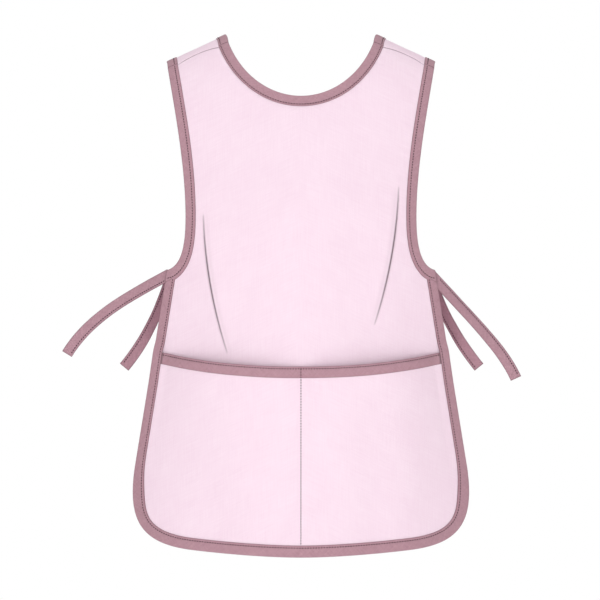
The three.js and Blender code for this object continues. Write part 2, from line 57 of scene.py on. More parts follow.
MM = 0.001
BODY = "root"
UV_NAME = "cloth"
SHADE_NAME = "shade"
LOG = logging.getLogger("bib_apron")
# A distance past the reach of every bell
FAR = 1000.0
FLIP = np.array([-1.0, 1.0, 1.0])
# Share of a step along bias tape that lies along each of its threads
BIAS = 0.7071
NOISE_ROUGHNESS = 0.55
# Height, pace and lag of each sine in a ripple
RIPPLE = ((1.0, 1.0, 1.0), (0.7, 1 / 1.73, 2.3), (0.4, 1.61, 4.1))
RIPPLE_HEIGHT = 2.1


class Face(Enum):
    """Which panel an edge or a tie belongs to."""

    FRONT = 1
    BACK = -1

    @property
    def panel(self) -> str:
        """Node of the panel."""
        return f"{self.name.lower()}_panel"


class Hand(Enum):
    """Which side of the centre line a piece lies on, seen from the front."""

    LEFT = -1
    RIGHT = 1


class Slot(Enum):
    """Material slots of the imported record."""

    PANEL = "panel_cloth"
    TAPE = "binding_tape"
    TIE = "tie_cloth"
    THREAD = "stitch_thread"


Looks = dict[Slot, bpy.types.Material]

# Small formulas on whole arrays


def smooth(value: Array, low: float, high: float) -> Array:
    """Soft step from 0 at low to 1 at high: thrice the square less twice the cube of the share between."""
    share = np.clip((np.asarray(value, float) - low) / (high - low), 0.0, 1.0)
    return share * share * (3.0 - 2.0 * share)


def ripple(distance: Array, spacing: float, phase: float) -> Array:
    """Uneven wave between -1 and 1: three sines of unlike height, pace and lag, added and scaled."""
    turn = 2.0 * np.pi * np.asarray(distance, float) / spacing
    return sum(height * np.sin(turn * pace + lag * phase) for height, pace, lag in RIPPLE) / RIPPLE_HEIGHT


def bell(distance: Array, width: Array | float) -> Array:
    """Bell curve: the natural exponential of minus the square of distance over width."""
    return np.exp(-((distance / width) ** 2))


def unit(vectors: Array) -> Array:
    """Vectors scaled to length one along the last axis."""
    return vectors / np.linalg.norm(vectors, axis=-1, keepdims=True)


def run_length(points: Array) -> Array:
    """Length along a row of points, from zero at the first."""
    return np.concatenate([[0.0], np.cumsum(np.linalg.norm(np.diff(points, axis=0), axis=1))])


def along(points: Array, places: Array, run: Array | None = None) -> Array:
    """Points at places on a row's own length, or on another run along it, straight between neighbours."""
    run = run_length(points) if run is None else run
    return np.stack([np.interp(places, run, column) for column in points.T], axis=-1)


def at_shares(points: Array, shares: Array) -> Array:
    """Points at shares of the whole length of a row of points."""
    return along(points, shares * run_length(points)[-1])


def evenly(points: Array, spacing: float) -> Array:
    """The same row at an even spacing close to the one asked for, with the same two ends."""
    steps = max(int(round(run_length(points)[-1] / spacing)), 1)
    return at_shares(points, np.linspace(0.0, 1.0, steps + 1))


def stations(points: Array, spacing: float, lip: float = 0.9) -> Array:
    """Evenly spaced points, with one more a lip's length from each end.

    Args:
        points: Row of points.
        spacing: Wanted step.
        lip: Distance of the added points from the ends.

    Returns:
        New row with the same two ends.
    """
    even = evenly(points, spacing)
    run = run_length(even)
    return along(even, np.sort(np.concatenate([run, [lip, run[-1] - lip]])))


def nearest(points: Array, point: Array) -> int:
    """Number of the point in a row that is nearest to a point."""
    return int(np.argmin(np.linalg.norm(points - point, axis=1)))


def bezier(knots: Sequence[Pair], count: int = 120) -> Array:
    """Points on a cubic curve: its four knots weighted by the cubic terms of a share t and its rest 1 - t.

    Args:
        knots: Two ends, with the ends of their handles between them.
        count: Number of points.

    Returns:
        Points, one row each.
    """
    t = np.linspace(0.0, 1.0, count)[:, None]
    weights = np.concatenate([(1 - t) ** 3, 3 * t * (1 - t) ** 2, 3 * t * t * (1 - t), t**3], axis=1)
    return weights @ np.asarray(knots)


def mirrored(spots: Array) -> Array:
    """The same spots on the other side of the centre line."""
    return spots * FLIP[:2]


def whole(half: Array) -> Array:
    """A row of spots that ends on the centre line, followed back to its mirrored start."""
    return np.concatenate([half, mirrored(half)[::-1][1:]])


# The form of the hanging cloth


@dataclass(frozen=True)
class Knot:
    """A point of the outer edge with the reach of its curve handles before and after it."""

    x: float
    z: float
    before: Pair
    after: Pair

    def handle(self, reach: Pair) -> Pair:
        """The end of a handle with that reach."""
        return (self.x + reach[0], self.z + reach[1])


@dataclass(frozen=True)
class Cut:
    """Pattern lines of the right half, seen from the front."""

    neck_across: float = 112.3
    neck_depth: float = 127.2
    neck_centre_z: float = 41.3
    neck_points: int = 160
    tape_seam: Pair = (12.3, 9.5)
    cloth_seam: Pair = (19.4, 14.4)
    seam_bow: float = 17.3
    seam_gap: float = 0.5
    pocket_top_radius: float = 964.0
    pocket_top_z: float = -469.2
    hem_radius: float = 985.0
    back_tuck: float = 4.0
    back_tuck_run: float = 120.0
    shoulder_tip: Knot = Knot(190.0, -39.0, (0.0, 0.0), (-12.5, -75.0))
    chest: Knot = Knot(163.4, -258.0, (0.0, 70.0), (0.0, -46.0))
    underarm: Knot = Knot(189.4, -332.6, (-18.0, 5.2), (14.5, -89.0))
    flare_end: Knot = Knot(233.5, -607.0, (-14.5, 89.0), (14.2, -87.0))
    hem_start: Knot = Knot(151.5, -729.5, (69.0, 8.2), (-50.0, -6.0))
    hem_centre: Knot = Knot(0.0, -740.0, (44.7, 0.0), (0.0, 0.0))

    @property
    def neck_half(self) -> float:
        """Distance from the centre line to the neck point of a shoulder."""
        return float(self.neck_across * np.sqrt(1 - (self.neck_centre_z / self.neck_depth) ** 2))

    def ridge(self, x: Array) -> Array:
        """Height of the shoulder fold: a straight line that falls from the neck point to the shoulder tip."""
        fall = -self.shoulder_tip.z / (self.shoulder_tip.x - self.neck_half)
        return (self.neck_half - np.abs(x)) * fall

    @staticmethod
    def arc(x: Array, low: float, radius: float) -> Array:
        """Height of an arc whose lowest point is on the centre line."""
        return low + radius - np.sqrt(radius**2 - np.square(x))

    def pocket_top(self, x: Array) -> Array:
        """Height of the arc of the pocket's top edge."""
        return self.arc(x, self.pocket_top_z, self.pocket_top_radius)

    def hem(self, x: Array) -> Array:
        """Height of the hem's arc."""
        return self.arc(x, self.hem_centre.z, self.hem_radius)

    def side_x(self, z: Array) -> Array:
        """Distance of the side edge, taken as straight between the underarm and the end of the flare."""
        top, foot = self.underarm, self.flare_end
        return top.x + (z - top.z) * (foot.x - top.x) / (foot.z - top.z)

    def neckline(self) -> Array:
        """Points (x, z) on the neck's ellipse, from the shoulder fold to the lowest point.

        Returns:
            Points, one row each.
        """
        angle = np.linspace(np.arcsin(-self.neck_centre_z / self.neck_depth), -np.pi / 2, self.neck_points)
        x, z = self.neck_across * np.cos(angle), self.neck_depth * np.sin(angle) + self.neck_centre_z
        return np.stack([x, z], 1)

    @staticmethod
    def edge(*knots: Knot) -> Array:
        """Points (x, z) along the curves from knot to knot.

        Args:
            knots: Knots of the edge, in order.

        Returns:
            Points, one row each.
        """
        pairs = zip(knots, knots[1:])
        curves = [bezier([(a.x, a.z), a.handle(a.after), b.handle(b.before), (b.x, b.z)]) for a, b in pairs]
        return np.concatenate([curves[0], *(curve[1:] for curve in curves[1:])])

    def armhole(self) -> Array:
        """Points (x, z) of the armhole, from the shoulder fold to the underarm."""
        return self.edge(self.shoulder_tip, self.chest, self.underarm)

    def side_and_hem(self) -> Array:
        """Points (x, z) from the underarm down the side, round the corner and along the hem to the centre."""
        return self.edge(self.underarm, self.flare_end, self.hem_start, self.hem_centre)


class Sheet:
    """A surface of cloth given by its point at each spot (x, hang)."""

    half_step = 0.05

    def point(self, spots: Array) -> Array:
        """Place of each spot. Each sheet gives its own formula."""
        raise NotImplementedError

    def slopes(self, spots: Array) -> list[Array]:
        """Change of place for a millimetre across and one down the cloth, by central differences."""
        moves, full_step = np.eye(2) * self.half_step, 2 * self.half_step
        return [(self.point(spots + move) - self.point(spots - move)) / full_step for move in moves]

    def normal(self, spots: Array) -> Array:
        """Outward direction at each spot: the slope down crossed with the slope across."""
        across, down = self.slopes(spots)
        return unit(np.cross(down, across))

    def faces(self, spots: Array, level: Array, wall: float) -> list[Array]:
        """Outer and inner face of a wall whose middle stands off the sheet by a level."""
        base, normal = self.point(spots), self.normal(spots)
        return [base + normal * (level + half)[:, None] for half in (wall / 2, -wall / 2)]

    def step(self, track: Array, direction: Array) -> Array:
        """The change of spot that moves a millimetre along a direction in the surface, from its two slopes.

        Args:
            track: Spots, one row each.
            direction: Directions in space at those spots.

        Returns:
            Changes of (x, hang), one row each.
        """
        across, down = self.slopes(track)
        aa, ad, dd = (np.sum(p * q, -1) for p, q in ((across, across), (across, down), (down, down)))
        da, db = np.sum(direction * across, -1), np.sum(direction * down, -1)
        return np.stack([da * dd - db * ad, db * aa - da * ad], -1) / (aa * dd - ad * ad)[:, None]

    def inward(self, track: Array, hand: int) -> Array:
        """Direction from an edge into the cloth on its hand side: the edge's way crossed with outward."""
        way = np.gradient(self.point(track), axis=0)
        return unit(np.cross(way, self.normal(track))) * hand

    def drawn_in(self, track: Array, hand: int, distance: Array) -> Array:
        """The edge moved into the cloth by a distance that may differ from spot to spot."""
        return track + self.step(track, self.inward(track, hand)) * np.asarray(distance, float)[..., None]

    def drawn_corner(self, edges: Sequence[Array], hand: int, distances: Sequence[Array]) -> list[Array]:
        """Two edges that meet at a corner, drawn in and cut short to meet again where they cross.

        Args:
            edges: Spots of the edge that ends at the corner, and of the edge that starts there.
            hand: 1 or -1, for the side on which the cloth lies.
            distances: How far each spot of each edge moves in.

        Returns:
            The two edges drawn in.
        """
        first, second = edges
        reach = float(distances[1][0])
        one, two = self.inward(first, hand)[-1], self.inward(second, hand)[0]
        crossing = (one + two) * reach / (1 + one @ two)
        corner = second[:1] + self.step(second[:1], crossing[None])
        kept = [run_length(first)[-1] - run_length(first) > 2 * reach, run_length(second) > 2 * reach]
        drawn = [self.drawn_in(edge, hand, far)[keep] for edge, far, keep in zip(edges, distances, kept)]
        return [np.concatenate([drawn[0], corner]), np.concatenate([corner, drawn[1]])]


@dataclass(frozen=True)
class Fold:
    """A soft drag fold: a bent crest line, seen from the front, its lift across and down, and the shade
    painted along it.
    """

    top_x: float
    bend_x: float
    foot_x: float
    top_z: float
    foot_z: float
    lift: float = 3.4
    lift_power: float = 1.2
    inner: float = 26.0
    outer: float = 2.6
    # Painted shade: a dark line past the crest, and a faint band inside it
    line: float = 1.2
    line_width: float = 1.1
    band: float = 3.4
    band_width: float = 2.6
    band_dark: float = 0.08
    shade_power: float = 0.4

    def share(self, z: Array) -> Array:
        """Share of the way down the fold at a height."""
        return np.clip((self.top_z - z) / (self.top_z - self.foot_z), 0.0, 1.0)

    def crest(self, z: Array) -> Array:
        """Distance of the crest line from the centre line: a quadratic curve in the share of the way down."""
        t = self.share(z)
        return self.top_x * (1 - t) ** 2 + 2 * self.bend_x * t * (1 - t) + self.foot_x * t**2

    def across(self, x: Array, z: Array, power: float) -> tuple[Array, Array]:
        """Distance outside the crest line, and strength down the fold: a power of a sine."""
        return (x - self.crest(z)) * np.sign(self.top_x), np.sin(np.pi * self.share(z)) ** power

    def lifted(self, x: Array, z: Array) -> Array:
        """Lift of the cloth: the strength down the fold times a bell across it that is steep outside."""
        outward, strength = self.across(x, z, self.lift_power)
        return self.lift * strength * bell(outward, np.where(outward > 0, self.outer, self.inner))

    def shade(self, x: Array, z: Array) -> Array:
        """Painted shade of the cloth: a narrow bell at the foot of the steep flank, and a faint wide one
        inside it.

        Args:
            x: Distances from the centre line.
            z: Heights.

        Returns:
            Painted shade from 0 to about 1.
        """
        outward, strength = self.across(x, z, self.shade_power)
        band = self.band_dark * bell(outward + self.band, self.band_width)
        return strength * np.maximum(bell(outward - self.line, self.line_width), band)


@dataclass(frozen=True)
class PanelSheet(Sheet):
    """The worn form of the two panels, as one sheet that turns over the shoulders.

    Below the shoulder fold the height falls as one less the cosine of the hang up to a quarter turn, and then
    one for one. The depth grows as the sine of the same angle, less a fall to the sides that is square in x.
    Drag folds are added to the front, and shallow flutes to both.
    """

    cut: Cut = Cut()
    arch: float = 110.0
    side_fall_at: float = 200.0
    drops: tuple[float, ...] = (0.0, 90.0, 240.0, 340.0, 520.0, 740.0)
    front: tuple[float, ...] = (82.0, 90.0, 118.0, 118.0, 112.0, 122.0)
    back: tuple[float, ...] = (80.0, 88.0, 102.0, 98.0, 98.0, 110.0)
    side_fall: tuple[float, ...] = (14.0, 20.0, 46.0, 58.0, 60.0, 62.0)
    left_fold: Fold = Fold(-137.0, -134.3, -102.8, -253.0, -451.0)
    right_fold: Fold = Fold(136.9, 133.8, 102.4, -214.6, -411.0)
    flute_from: float = -250.0
    flute_to: float = -720.0
    flute_depth: float = 2.4
    flute_spacing: float = 118.0
    flute_lean: float = 0.06
    flute_phase: float = 0.9

    @property
    def quarter(self) -> float:
        """Length of cloth in the quarter turn over a shoulder."""
        return self.arch * np.pi / 2

    def table(self, column: Sequence[float], drop: Array) -> Array:
        """A column of the depth table, on cubic pieces whose slopes are means of their neighbours'.

        Args:
            column: Depths at the table's drops.
            drop: Drops below the neck points.

        Returns:
            Depth at each drop.
        """
        knots, values = np.asarray(self.drops), np.asarray(column)
        slope = np.diff(values) / np.diff(knots)
        tangent = np.concatenate([slope[:1], (slope[1:] + slope[:-1]) / 2, slope[-1:]])
        place = np.clip(np.searchsorted(knots, drop) - 1, 0, len(knots) - 2)
        width = knots[place + 1] - knots[place]
        t = (drop - knots[place]) / width
        start = (2 * t**3 - 3 * t**2 + 1) * values[place] + (t**3 - 2 * t**2 + t) * width * tangent[place]
        end = (3 * t**2 - 2 * t**3) * values[place + 1] + (t**3 - t**2) * width * tangent[place + 1]
        return start + end

    def turned(self, spots: Array) -> Array:
        """Angle that the cloth has turned over the shoulder at each spot, up to a quarter."""
        return np.minimum(np.abs(spots[..., 1]), self.quarter) / self.arch

    def height(self, spots: Array) -> Array:
        """Height of each spot: the shoulder fold's height less the drop of the cloth."""
        drop = self.arch * (1 - np.cos(self.turned(spots)))
        return self.cut.ridge(spots[..., 0]) - drop - np.maximum(np.abs(spots[..., 1]) - self.quarter, 0.0)

    def spots(self, points: Array, face: Face) -> Array:
        """Spots on one face at points seen from the front, by the inverse of the height.

        Args:
            points: Points (x, z), one row each.
            face: Front or back.

        Returns:
            Spots, one row each.
        """
        drop = np.maximum(self.cut.ridge(points[:, 0]) - points[:, 1], 0.0)
        turned = self.arch * np.arccos(1 - np.minimum(drop, self.arch) / self.arch)
        return np.stack([points[:, 0], face.value * (turned + np.maximum(drop - self.arch, 0.0))], -1)

    def pattern(self, spots: Array, face: Face) -> Array:
        """Spots laid flat as on a paper pattern, whose shoulders slant as the shoulder fold does."""
        return np.stack([spots[:, 0], face.value * spots[:, 1] - self.cut.ridge(spots[:, 0])], -1)

    def flutes(self, x: Array, z: Array) -> Array:
        """Shallow upright waves that deepen from the chest to the hem and lean a little.

        Args:
            x: Distances from the centre line.
            z: Heights.

        Returns:
            Height of the wave at each place.
        """
        depth = self.flute_depth * smooth(-z, -self.flute_from, -self.flute_to)
        leaning = x + self.flute_lean * (z - self.flute_from)
        return depth * ripple(leaning, self.flute_spacing, self.flute_phase)

    def point(self, spots: Array) -> Array:
        """Place of each spot, by the formula in the class's own words.

        Args:
            spots: Spots of the cloth.

        Returns:
            Points in millimetres.
        """
        x, hang = np.moveaxis(spots, -1, 0)
        z = self.height(spots)
        turn = np.sin(self.turned(spots))
        fall = self.table(self.side_fall, -z) * (x / self.side_fall_at) ** 2
        lift, wave = self.left_fold.lifted(x, z) + self.right_fold.lifted(x, z), self.flutes(x, z)
        forward = (self.table(self.front, -z) - fall) * turn + lift + wave
        backward = (self.table(self.back, -z) - fall) * turn - wave
        return np.stack([x, np.where(hang > 0, -forward, backward), z], -1)


@dataclass(frozen=True)
class PocketSheet(Sheet):
    """The pocket's cloth: the front panel raised by the room that the pocket keeps in front of it.

    The room is a thin sewn gap, more where the folded tape lies behind the top edge, and a gape that is a
    wave from the centre stitching to each side and grows from the foot to the top.
    """

    panel: PanelSheet = PanelSheet()
    wall: float = 1.0
    gap: float = 0.5
    gape: float = 13.0
    gape_across: float = 0.8
    gape_up: float = 0.9
    sewn_side: float = 24.0
    sewn_foot: float = 46.0
    tape_room: float = 1.5
    tape_fade: float = 45.0

    def rise(self, spots: Array) -> Array:
        """Distance between the middles of the front panel and the pocket's cloth.

        Args:
            spots: Spots of the cloth.

        Returns:
            Distance at each spot.
        """
        cut, x, z = self.panel.cut, spots[..., 0], self.panel.height(spots)
        foot, top = cut.hem(x) + self.sewn_foot, cut.pocket_top(x)
        across = np.clip(np.abs(x) / (cut.side_x(z) - self.sewn_side), 0.0, 1.0)
        up = np.clip((z - foot) / (top - foot), 0.0, 1.0)
        gape = self.gape * np.sin(np.pi * across) ** self.gape_across * up**self.gape_up
        room = self.tape_room * np.clip(1 - np.maximum(top - z, 0.0) / self.tape_fade, 0.0, 1.0)
        return self.wall + self.gap + room + gape

    def point(self, spots: Array) -> Array:
        """Place of each spot: the panel's place raised by the pocket's room."""
        return self.panel.point(spots) + self.panel.normal(spots) * self.rise(spots)[..., None]


@dataclass
class Outline:
    """Finished edges of the right half of one panel, as rows of spots. The lower one is the side and hem."""

    sheet: PanelSheet
    face: Face
    seam_drops: Pair
    edge_step: float = 1.5
    seam_clear: float = 1.0
    over_points: int = 40
    neck: Array = field(init=False)
    armhole: Array = field(init=False)
    lower: Array = field(init=False)
    corner: Array = field(init=False)

    def __post_init__(self) -> None:
        """Works out the edges, and draws the back's in a little so that the front hides them."""
        cut, sheet = self.sheet.cut, self.sheet
        self.neck = self.upper_edge(cut.neckline(), self.seam_drops[0])
        self.armhole = self.upper_edge(cut.armhole(), self.seam_drops[1])
        self.lower = sheet.spots(evenly(cut.side_and_hem(), self.edge_step), self.face)
        if self.face is Face.BACK:
            neck, *tucks = (
                cut.back_tuck * np.clip(-edge[:, 1] / cut.back_tuck_run, 0.0, 1.0)
                for edge in (self.neck, self.armhole, self.lower)
            )
            self.neck = sheet.drawn_in(self.neck, 1, neck)
            self.armhole, self.lower = sheet.drawn_corner((self.armhole, self.lower), -1, tucks)
            self.neck[-1, 0] = self.lower[-1, 0] = 0.0
        run = run_length(self.lower)
        bend = np.interp([-cut.flare_end.z, -cut.hem_start.z], -sheet.height(self.lower), run)
        self.corner = self.lower[np.argmin(np.abs(run - bend.mean()))]

    def upper_edge(self, points: Array, seam_drop: float) -> Array:
        """An edge from the shoulder seam down: the front's from below the seam, the back's over the fold.

        Args:
            points: Points (x, z) of the edge from the shoulder fold down.
            seam_drop: Drop from the fold to the seam.

        Returns:
            Spots of the edge.
        """
        drop = self.sheet.cut.ridge(points[:, 0]) - points[:, 1]
        seam = self.sheet.spots(along(points, np.array([seam_drop]), drop), Face.FRONT)[0]
        seam = seam + [0.0, self.face.value * self.sheet.cut.seam_gap / 2]
        if self.face is Face.FRONT:
            below = points[drop > seam_drop + self.seam_clear]
            return np.concatenate([[seam], self.sheet.spots(below, Face.FRONT)])
        share = np.linspace(0.0, 1.0, self.over_points)[:, None]
        over = seam * (1 - share) + np.array([points[0, 0], 0.0]) * share
        return np.concatenate([over, self.sheet.spots(points[1:], Face.BACK)])


# Meshes


def placed(name: str, data: bpy.types.ID) -> bpy.types.Object:
    """Puts a new object into the scene.

    Args:
        name: Name of the object.
        data: Its mesh, light or camera.

    Returns:
        The object, at the origin.
    """
    made = bpy.data.objects.new(name, data)
    bpy.context.scene.collection.objects.link(made)
    return made


def grid_quads(index: Array) -> Array:
    """Corners of the quads between neighbouring rows and columns of a grid of point numbers."""
    return np.stack([index[:-1, :-1], index[:-1, 1:], index[1:, 1:], index[1:, :-1]], -1).reshape(-1, 4)


def plain_grid(rows: int, columns: int) -> Array:
    """Quads of a grid whose points are numbered row by row."""
    return grid_quads(np.arange(rows * columns).reshape(rows, columns))


def grid_uv(run: Array, across: Array) -> Array:
    """Cloth coordinates of a grid: the length along it and the distance across."""
    return np.stack(np.broadcast_arrays(run[:, None], across), -1).reshape(-1, 2)


def flat_size(spots: Array, quads: Array) -> Triple:
    """Width, length and area of a cut: the spread of its flat spots each way, and the area of its quads.

    Args:
        spots: Spots laid flat.
        quads: Corners of the quads between them.

    Returns:
        Width, length and area.
    """
    a, b, c, d = (spots[quads[:, corner]] for corner in range(4))
    first, second = c - a, d - b
    area = np.abs(first[:, 0] * second[:, 1] - first[:, 1] * second[:, 0]).sum() / 2
    return (*np.ptp(spots[np.unique(quads)], axis=0), area)


@dataclass
class WallMesh:
    """A mesh of quads with cloth coordinates. Its first quads are smooth, and its points may carry painted
    shade.
    """

    points: Array
    quads: Array
    uv: Array
    smooth_count: int
    shade: Array | None = None

    @classmethod
    def between(
        cls, faces: Sequence[Array], quads: Array, uv: Array, shade: Array | None = None
    ) -> "WallMesh":
        """Joins two faces into a wall. Rim quads stand on the edges that only one quad uses.

        Args:
            faces: Points of the outer face, and of the inner face in the same order.
            quads: Corners of the quads on either face.
            uv: Cloth coordinates of the points.
            shade: Painted shade of the points, from 0 on open cloth to 1, for how far they lie in a crease or
                a ditch.

        Returns:
            The wall, with its faces turned so that they point out.
        """
        used, flat = np.unique(quads, return_inverse=True)
        quads = flat.reshape(quads.shape)
        points = np.concatenate([face.reshape(-1, 3)[used] for face in faces])
        edges = np.stack([quads, np.roll(quads, -1, axis=1)], -1).reshape(-1, 2)
        _, first, uses = np.unique(np.sort(edges, axis=1), axis=0, return_index=True, return_counts=True)
        rim = edges[first[uses == 1]]
        sides = np.concatenate([rim[:, ::-1], rim + len(used)], 1)
        quads = np.concatenate([quads, quads[:, ::-1] + len(used), sides])
        a, b, c, d = (points[quads[:, corner]] for corner in range(4))
        if np.sum(np.cross(b - a, c - a) * a) + np.sum(np.cross(c - a, d - a) * a) < 0:
            quads = quads[:, ::-1]
        both = None if shade is None else np.tile(shade[used], 2)
        return cls(points, quads, np.tile(uv[used], (2, 1)), len(quads) - len(sides), both)

    def put(self, name: str, material: bpy.types.Material) -> bpy.types.Object:
        """Puts the mesh into Blender in metres, with its cloth coordinates, painted shade and material.

        Args:
            name: Name of the piece.
            material: Material of all its faces.

        Returns:
            The new object, at the origin.
        """
        mesh, count = bpy.data.meshes.new(name), len(self.quads)
        mesh.vertices.add(len(self.points))
        mesh.vertices.foreach_set("co", (self.points * MM).astype(np.float32).ravel())
        mesh.loops.add(self.quads.size)
        mesh.loops.foreach_set("vertex_index", self.quads.astype(np.int32).ravel())
        mesh.polygons.add(count)
        mesh.polygons.foreach_set("loop_start", np.arange(0, self.quads.size, 4, dtype=np.int32))
        layer = mesh.uv_layers.new(name=UV_NAME)
        layer.data.foreach_set("uv", (self.uv * MM)[self.quads.ravel()].astype(np.float32).ravel())
        mesh.polygons.foreach_set("use_smooth", np.arange(count) < self.smooth_count)
        # Painted shade, kept as a point attribute that the materials darken by
        if self.shade is not None:
            shade = mesh.attributes.new(SHADE_NAME, "FLOAT", "POINT")
            shade.data.foreach_set("value", self.shade.astype(np.float32))
        mesh.update(calc_edges=True)
        mesh.validate()
        mesh.materials.append(material)
        return placed(name, mesh)


# Shaders


class Value:
    """A number in a shader. Arithmetic on it adds Math nodes."""

    def __init__(self, shader: "Shader", socket: bpy.types.NodeSocket) -> None:
        """Wraps an output socket of a shader."""
        self.shader = shader
        self.socket = socket

    def __add__(self, other: Any) -> "Value":
        """Sum."""
        return self.shader.math("ADD", self, other)

    def __sub__(self, other: Any) -> "Value":
        """Difference."""
        return self.shader.math("SUBTRACT", self, other)

    def __rsub__(self, other: Any) -> "Value":
        """Difference from a plain number."""
        return self.shader.math("SUBTRACT", other, self)

    def __mul__(self, other: Any) -> "Value":
        """Product."""
        return self.shader.math("MULTIPLY", self, other)

    __radd__ = __add__
    __rmul__ = __mul__

    def sine(self) -> "Value":
        """Sine of an angle in radians."""
        return self.shader.math("SINE", self)

    def size(self) -> "Value":
        """Size without its sign."""
        return self.shader.math("ABSOLUTE", self)


class Shader:
    """The nodes of a material or a world under construction."""

    def __init__(self, owner: bpy.types.ID) -> None:
        """Starts with no nodes.

        Args:
            owner: Material or world that the nodes go into.
        """
        owner.use_nodes = True
        self.owner, self.tree = owner, owner.node_tree
        self.tree.nodes.clear()

    def node(self, kind: str, settings: dict[str, Any] | None = None, **inputs: Any) -> bpy.types.Node:
        """Adds a node, sets its options and then its sockets.

        Args:
            kind: Blender's type name of the node, without its common start.
            settings: Options of the node by name.
            inputs: Numbers, colours or links of its sockets, by name with underscores for spaces, or by place
                after an underscore.

        Returns:
            The new node.
        """
        made = self.tree.nodes.new(f"ShaderNode{kind}")
        for option, choice in (settings or {}).items():
            setattr(made, option, choice)
        for name, given in inputs.items():
            self.feed(made.inputs[int(name[1:]) if name[0] == "_" else name.replace("_", " ")], given)
        return made

    def feed(self, socket: bpy.types.NodeSocket, given: Any) -> None:
        """Links a socket to what is given, or sets its number or colour.

        Args:
            socket: Input of a node.
            given: Link, number or colour.
        """
        given = given.socket if isinstance(given, Value) else given
        if isinstance(given, bpy.types.NodeSocket):
            self.tree.links.new(given, socket)
        else:
            socket.default_value = (*given, 1.0) if socket.type == "RGBA" else given

    def math(self, operation: str, first: Any, second: Any = 0.0, hold: bool = False) -> Value:
        """Adds a Math node on one or two numbers, whose result may be held between 0 and 1."""
        made = self.node("Math", {"operation": operation, "use_clamp": hold}, _0=first, _1=second)
        return Value(self, made.outputs[0])

    def cloth(self) -> list[Value]:
        """The piece's two cloth coordinates, in metres."""
        parts = self.node("SeparateXYZ", _0=self.node("UVMap", {"uv_map": UV_NAME}).outputs[0])
        return [Value(self, part) for part in parts.outputs[:2]]

    def shade(self) -> Value:
        """The piece's painted shade, from 0 on open cloth to 1 in a ditch."""
        return Value(self, self.node("Attribute", {"attribute_name": SHADE_NAME}).outputs["Fac"])

    def noise(self, u: Value, v: Value, across: float, down: float, detail: float = 2.0) -> Value:
        """Soft noise over the cloth, stretched to a grain size across and down.

        Args:
            u: First cloth coordinate.
            v: Second cloth coordinate.
            across: Grain size along the first, in metres.
            down: Grain size along the second, in metres.
            detail: Layers of finer noise.

        Returns:
            Noise from 0 to 1.
        """
        spot = self.node("CombineXYZ", _0=u * (1 / across), _1=v * (1 / down)).outputs[0]
        grain = self.node(
            "TexNoise", {"noise_dimensions": "2D"},
            Vector=spot, Scale=1.0, Detail=detail, Roughness=NOISE_ROUGHNESS,
        )
        return Value(self, grain.outputs[0])

    def weave(self, u: Value, v: Value, pitch: float) -> Value:
        """Height of a plain weave: round warp and weft threads that pass over each other in turn.

        Each thread is the size of a sine across it. The product of the two sines says which lies on top.

        Args:
            u: Coordinate across the warp, in metres.
            v: Coordinate across the weft, in metres.
            pitch: Distance between neighbouring threads, in metres.

        Returns:
            Height from 0 to 1.
        """
        warp, weft = (u * (np.pi / pitch)).sine(), (v * (np.pi / pitch)).sine()
        over = self.math("ADD", warp * weft * 2.0, 0.5, hold=True)
        return warp.size() * over + weft.size() * (1.0 - over)

    def mix(self, factor: Any, low: Any, high: Any) -> bpy.types.NodeSocket:
        """A colour between two colours, by a factor held between 0 and 1."""
        return self.node("Mix", {"data_type": "RGBA"}, _0=factor, _6=low, _7=high).outputs[2]

    def bump(self, height: Value, distance: float, strength: float) -> bpy.types.NodeSocket:
        """A normal bent by a height, whose full range stands for a distance in metres."""
        return self.node("Bump", Height=height, Distance=distance, Strength=strength).outputs[0]

    def surface(self, **sockets: Any) -> bpy.types.Material:
        """Ends the nodes in a Principled surface with these sockets, and hands the material over."""
        self.node("OutputMaterial", Surface=self.node("BsdfPrincipled", **sockets).outputs["BSDF"])
        return self.owner


@dataclass(frozen=True)
class WovenCloth:
    """Plain-weave cotton blend with faint slubs and a soft nap. On the bias, threads lie at 45 degrees."""

    name: str = "panel_cotton"
    light: Triple = (0.955, 0.775, 0.870)
    deep: Triple = (0.905, 0.705, 0.812)
    # Colour of painted shade: the cloth darkens towards it in seam ditches, fold lines and at edges
    ditch: Triple = (0.130, 0.085, 0.105)
    bias: bool = False
    pitch: float = 0.0009
    slub: Pair = (0.0016, 0.034)
    slub_tone: float = 0.34
    thread_height: float = 0.35
    mottle_size: float = 0.045
    mottle_detail: float = 4.0
    mottle_tone: float = 0.32
    mottle_height: float = 1.6
    tone_from: float = 0.36
    contrast: float = 2.6
    weave_tone: float = 0.12
    roughness: float = 0.91
    weave_gloss: float = 0.06
    relief: Pair = (0.0009, 0.5)
    sheen: Pair = (0.12, 0.45)
    specular: float = 0.25

    def material(self) -> bpy.types.Material:
        """Makes the material. Tone and relief add up the weave, the slubs each way and a wide mottle, and
        painted shade darkens the colour towards the ditch colour.

        Returns:
            The material.
        """
        shader = Shader(bpy.data.materials.new(self.name))
        u, v = shader.cloth()
        if self.bias:
            u, v = (u + v) * BIAS, (u - v) * BIAS
        weave = shader.weave(u, v, self.pitch)
        slubs = shader.noise(u, v, *self.slub) + shader.noise(u, v, *self.slub[::-1])
        tone, height = slubs * self.slub_tone, (weave + slubs) * self.thread_height
        if self.mottle_size:
            mottle = shader.noise(u, v, self.mottle_size, self.mottle_size, self.mottle_detail)
            tone, height = tone + mottle * self.mottle_tone, height + mottle * self.mottle_height
        tone = (tone - self.tone_from) * self.contrast + weave * self.weave_tone
        cloth = shader.mix(tone, self.deep, self.light)
        return shader.surface(
            # Painted shade: the shade attribute darkens the colour towards the ditch colour
            Base_Color=shader.mix(shader.shade(), cloth, self.ditch),
            Roughness=self.roughness - weave * self.weave_gloss, Normal=shader.bump(height, *self.relief),
            Sheen_Weight=self.sheen[0], Sheen_Roughness=self.sheen[1], Specular_IOR_Level=self.specular,
        )
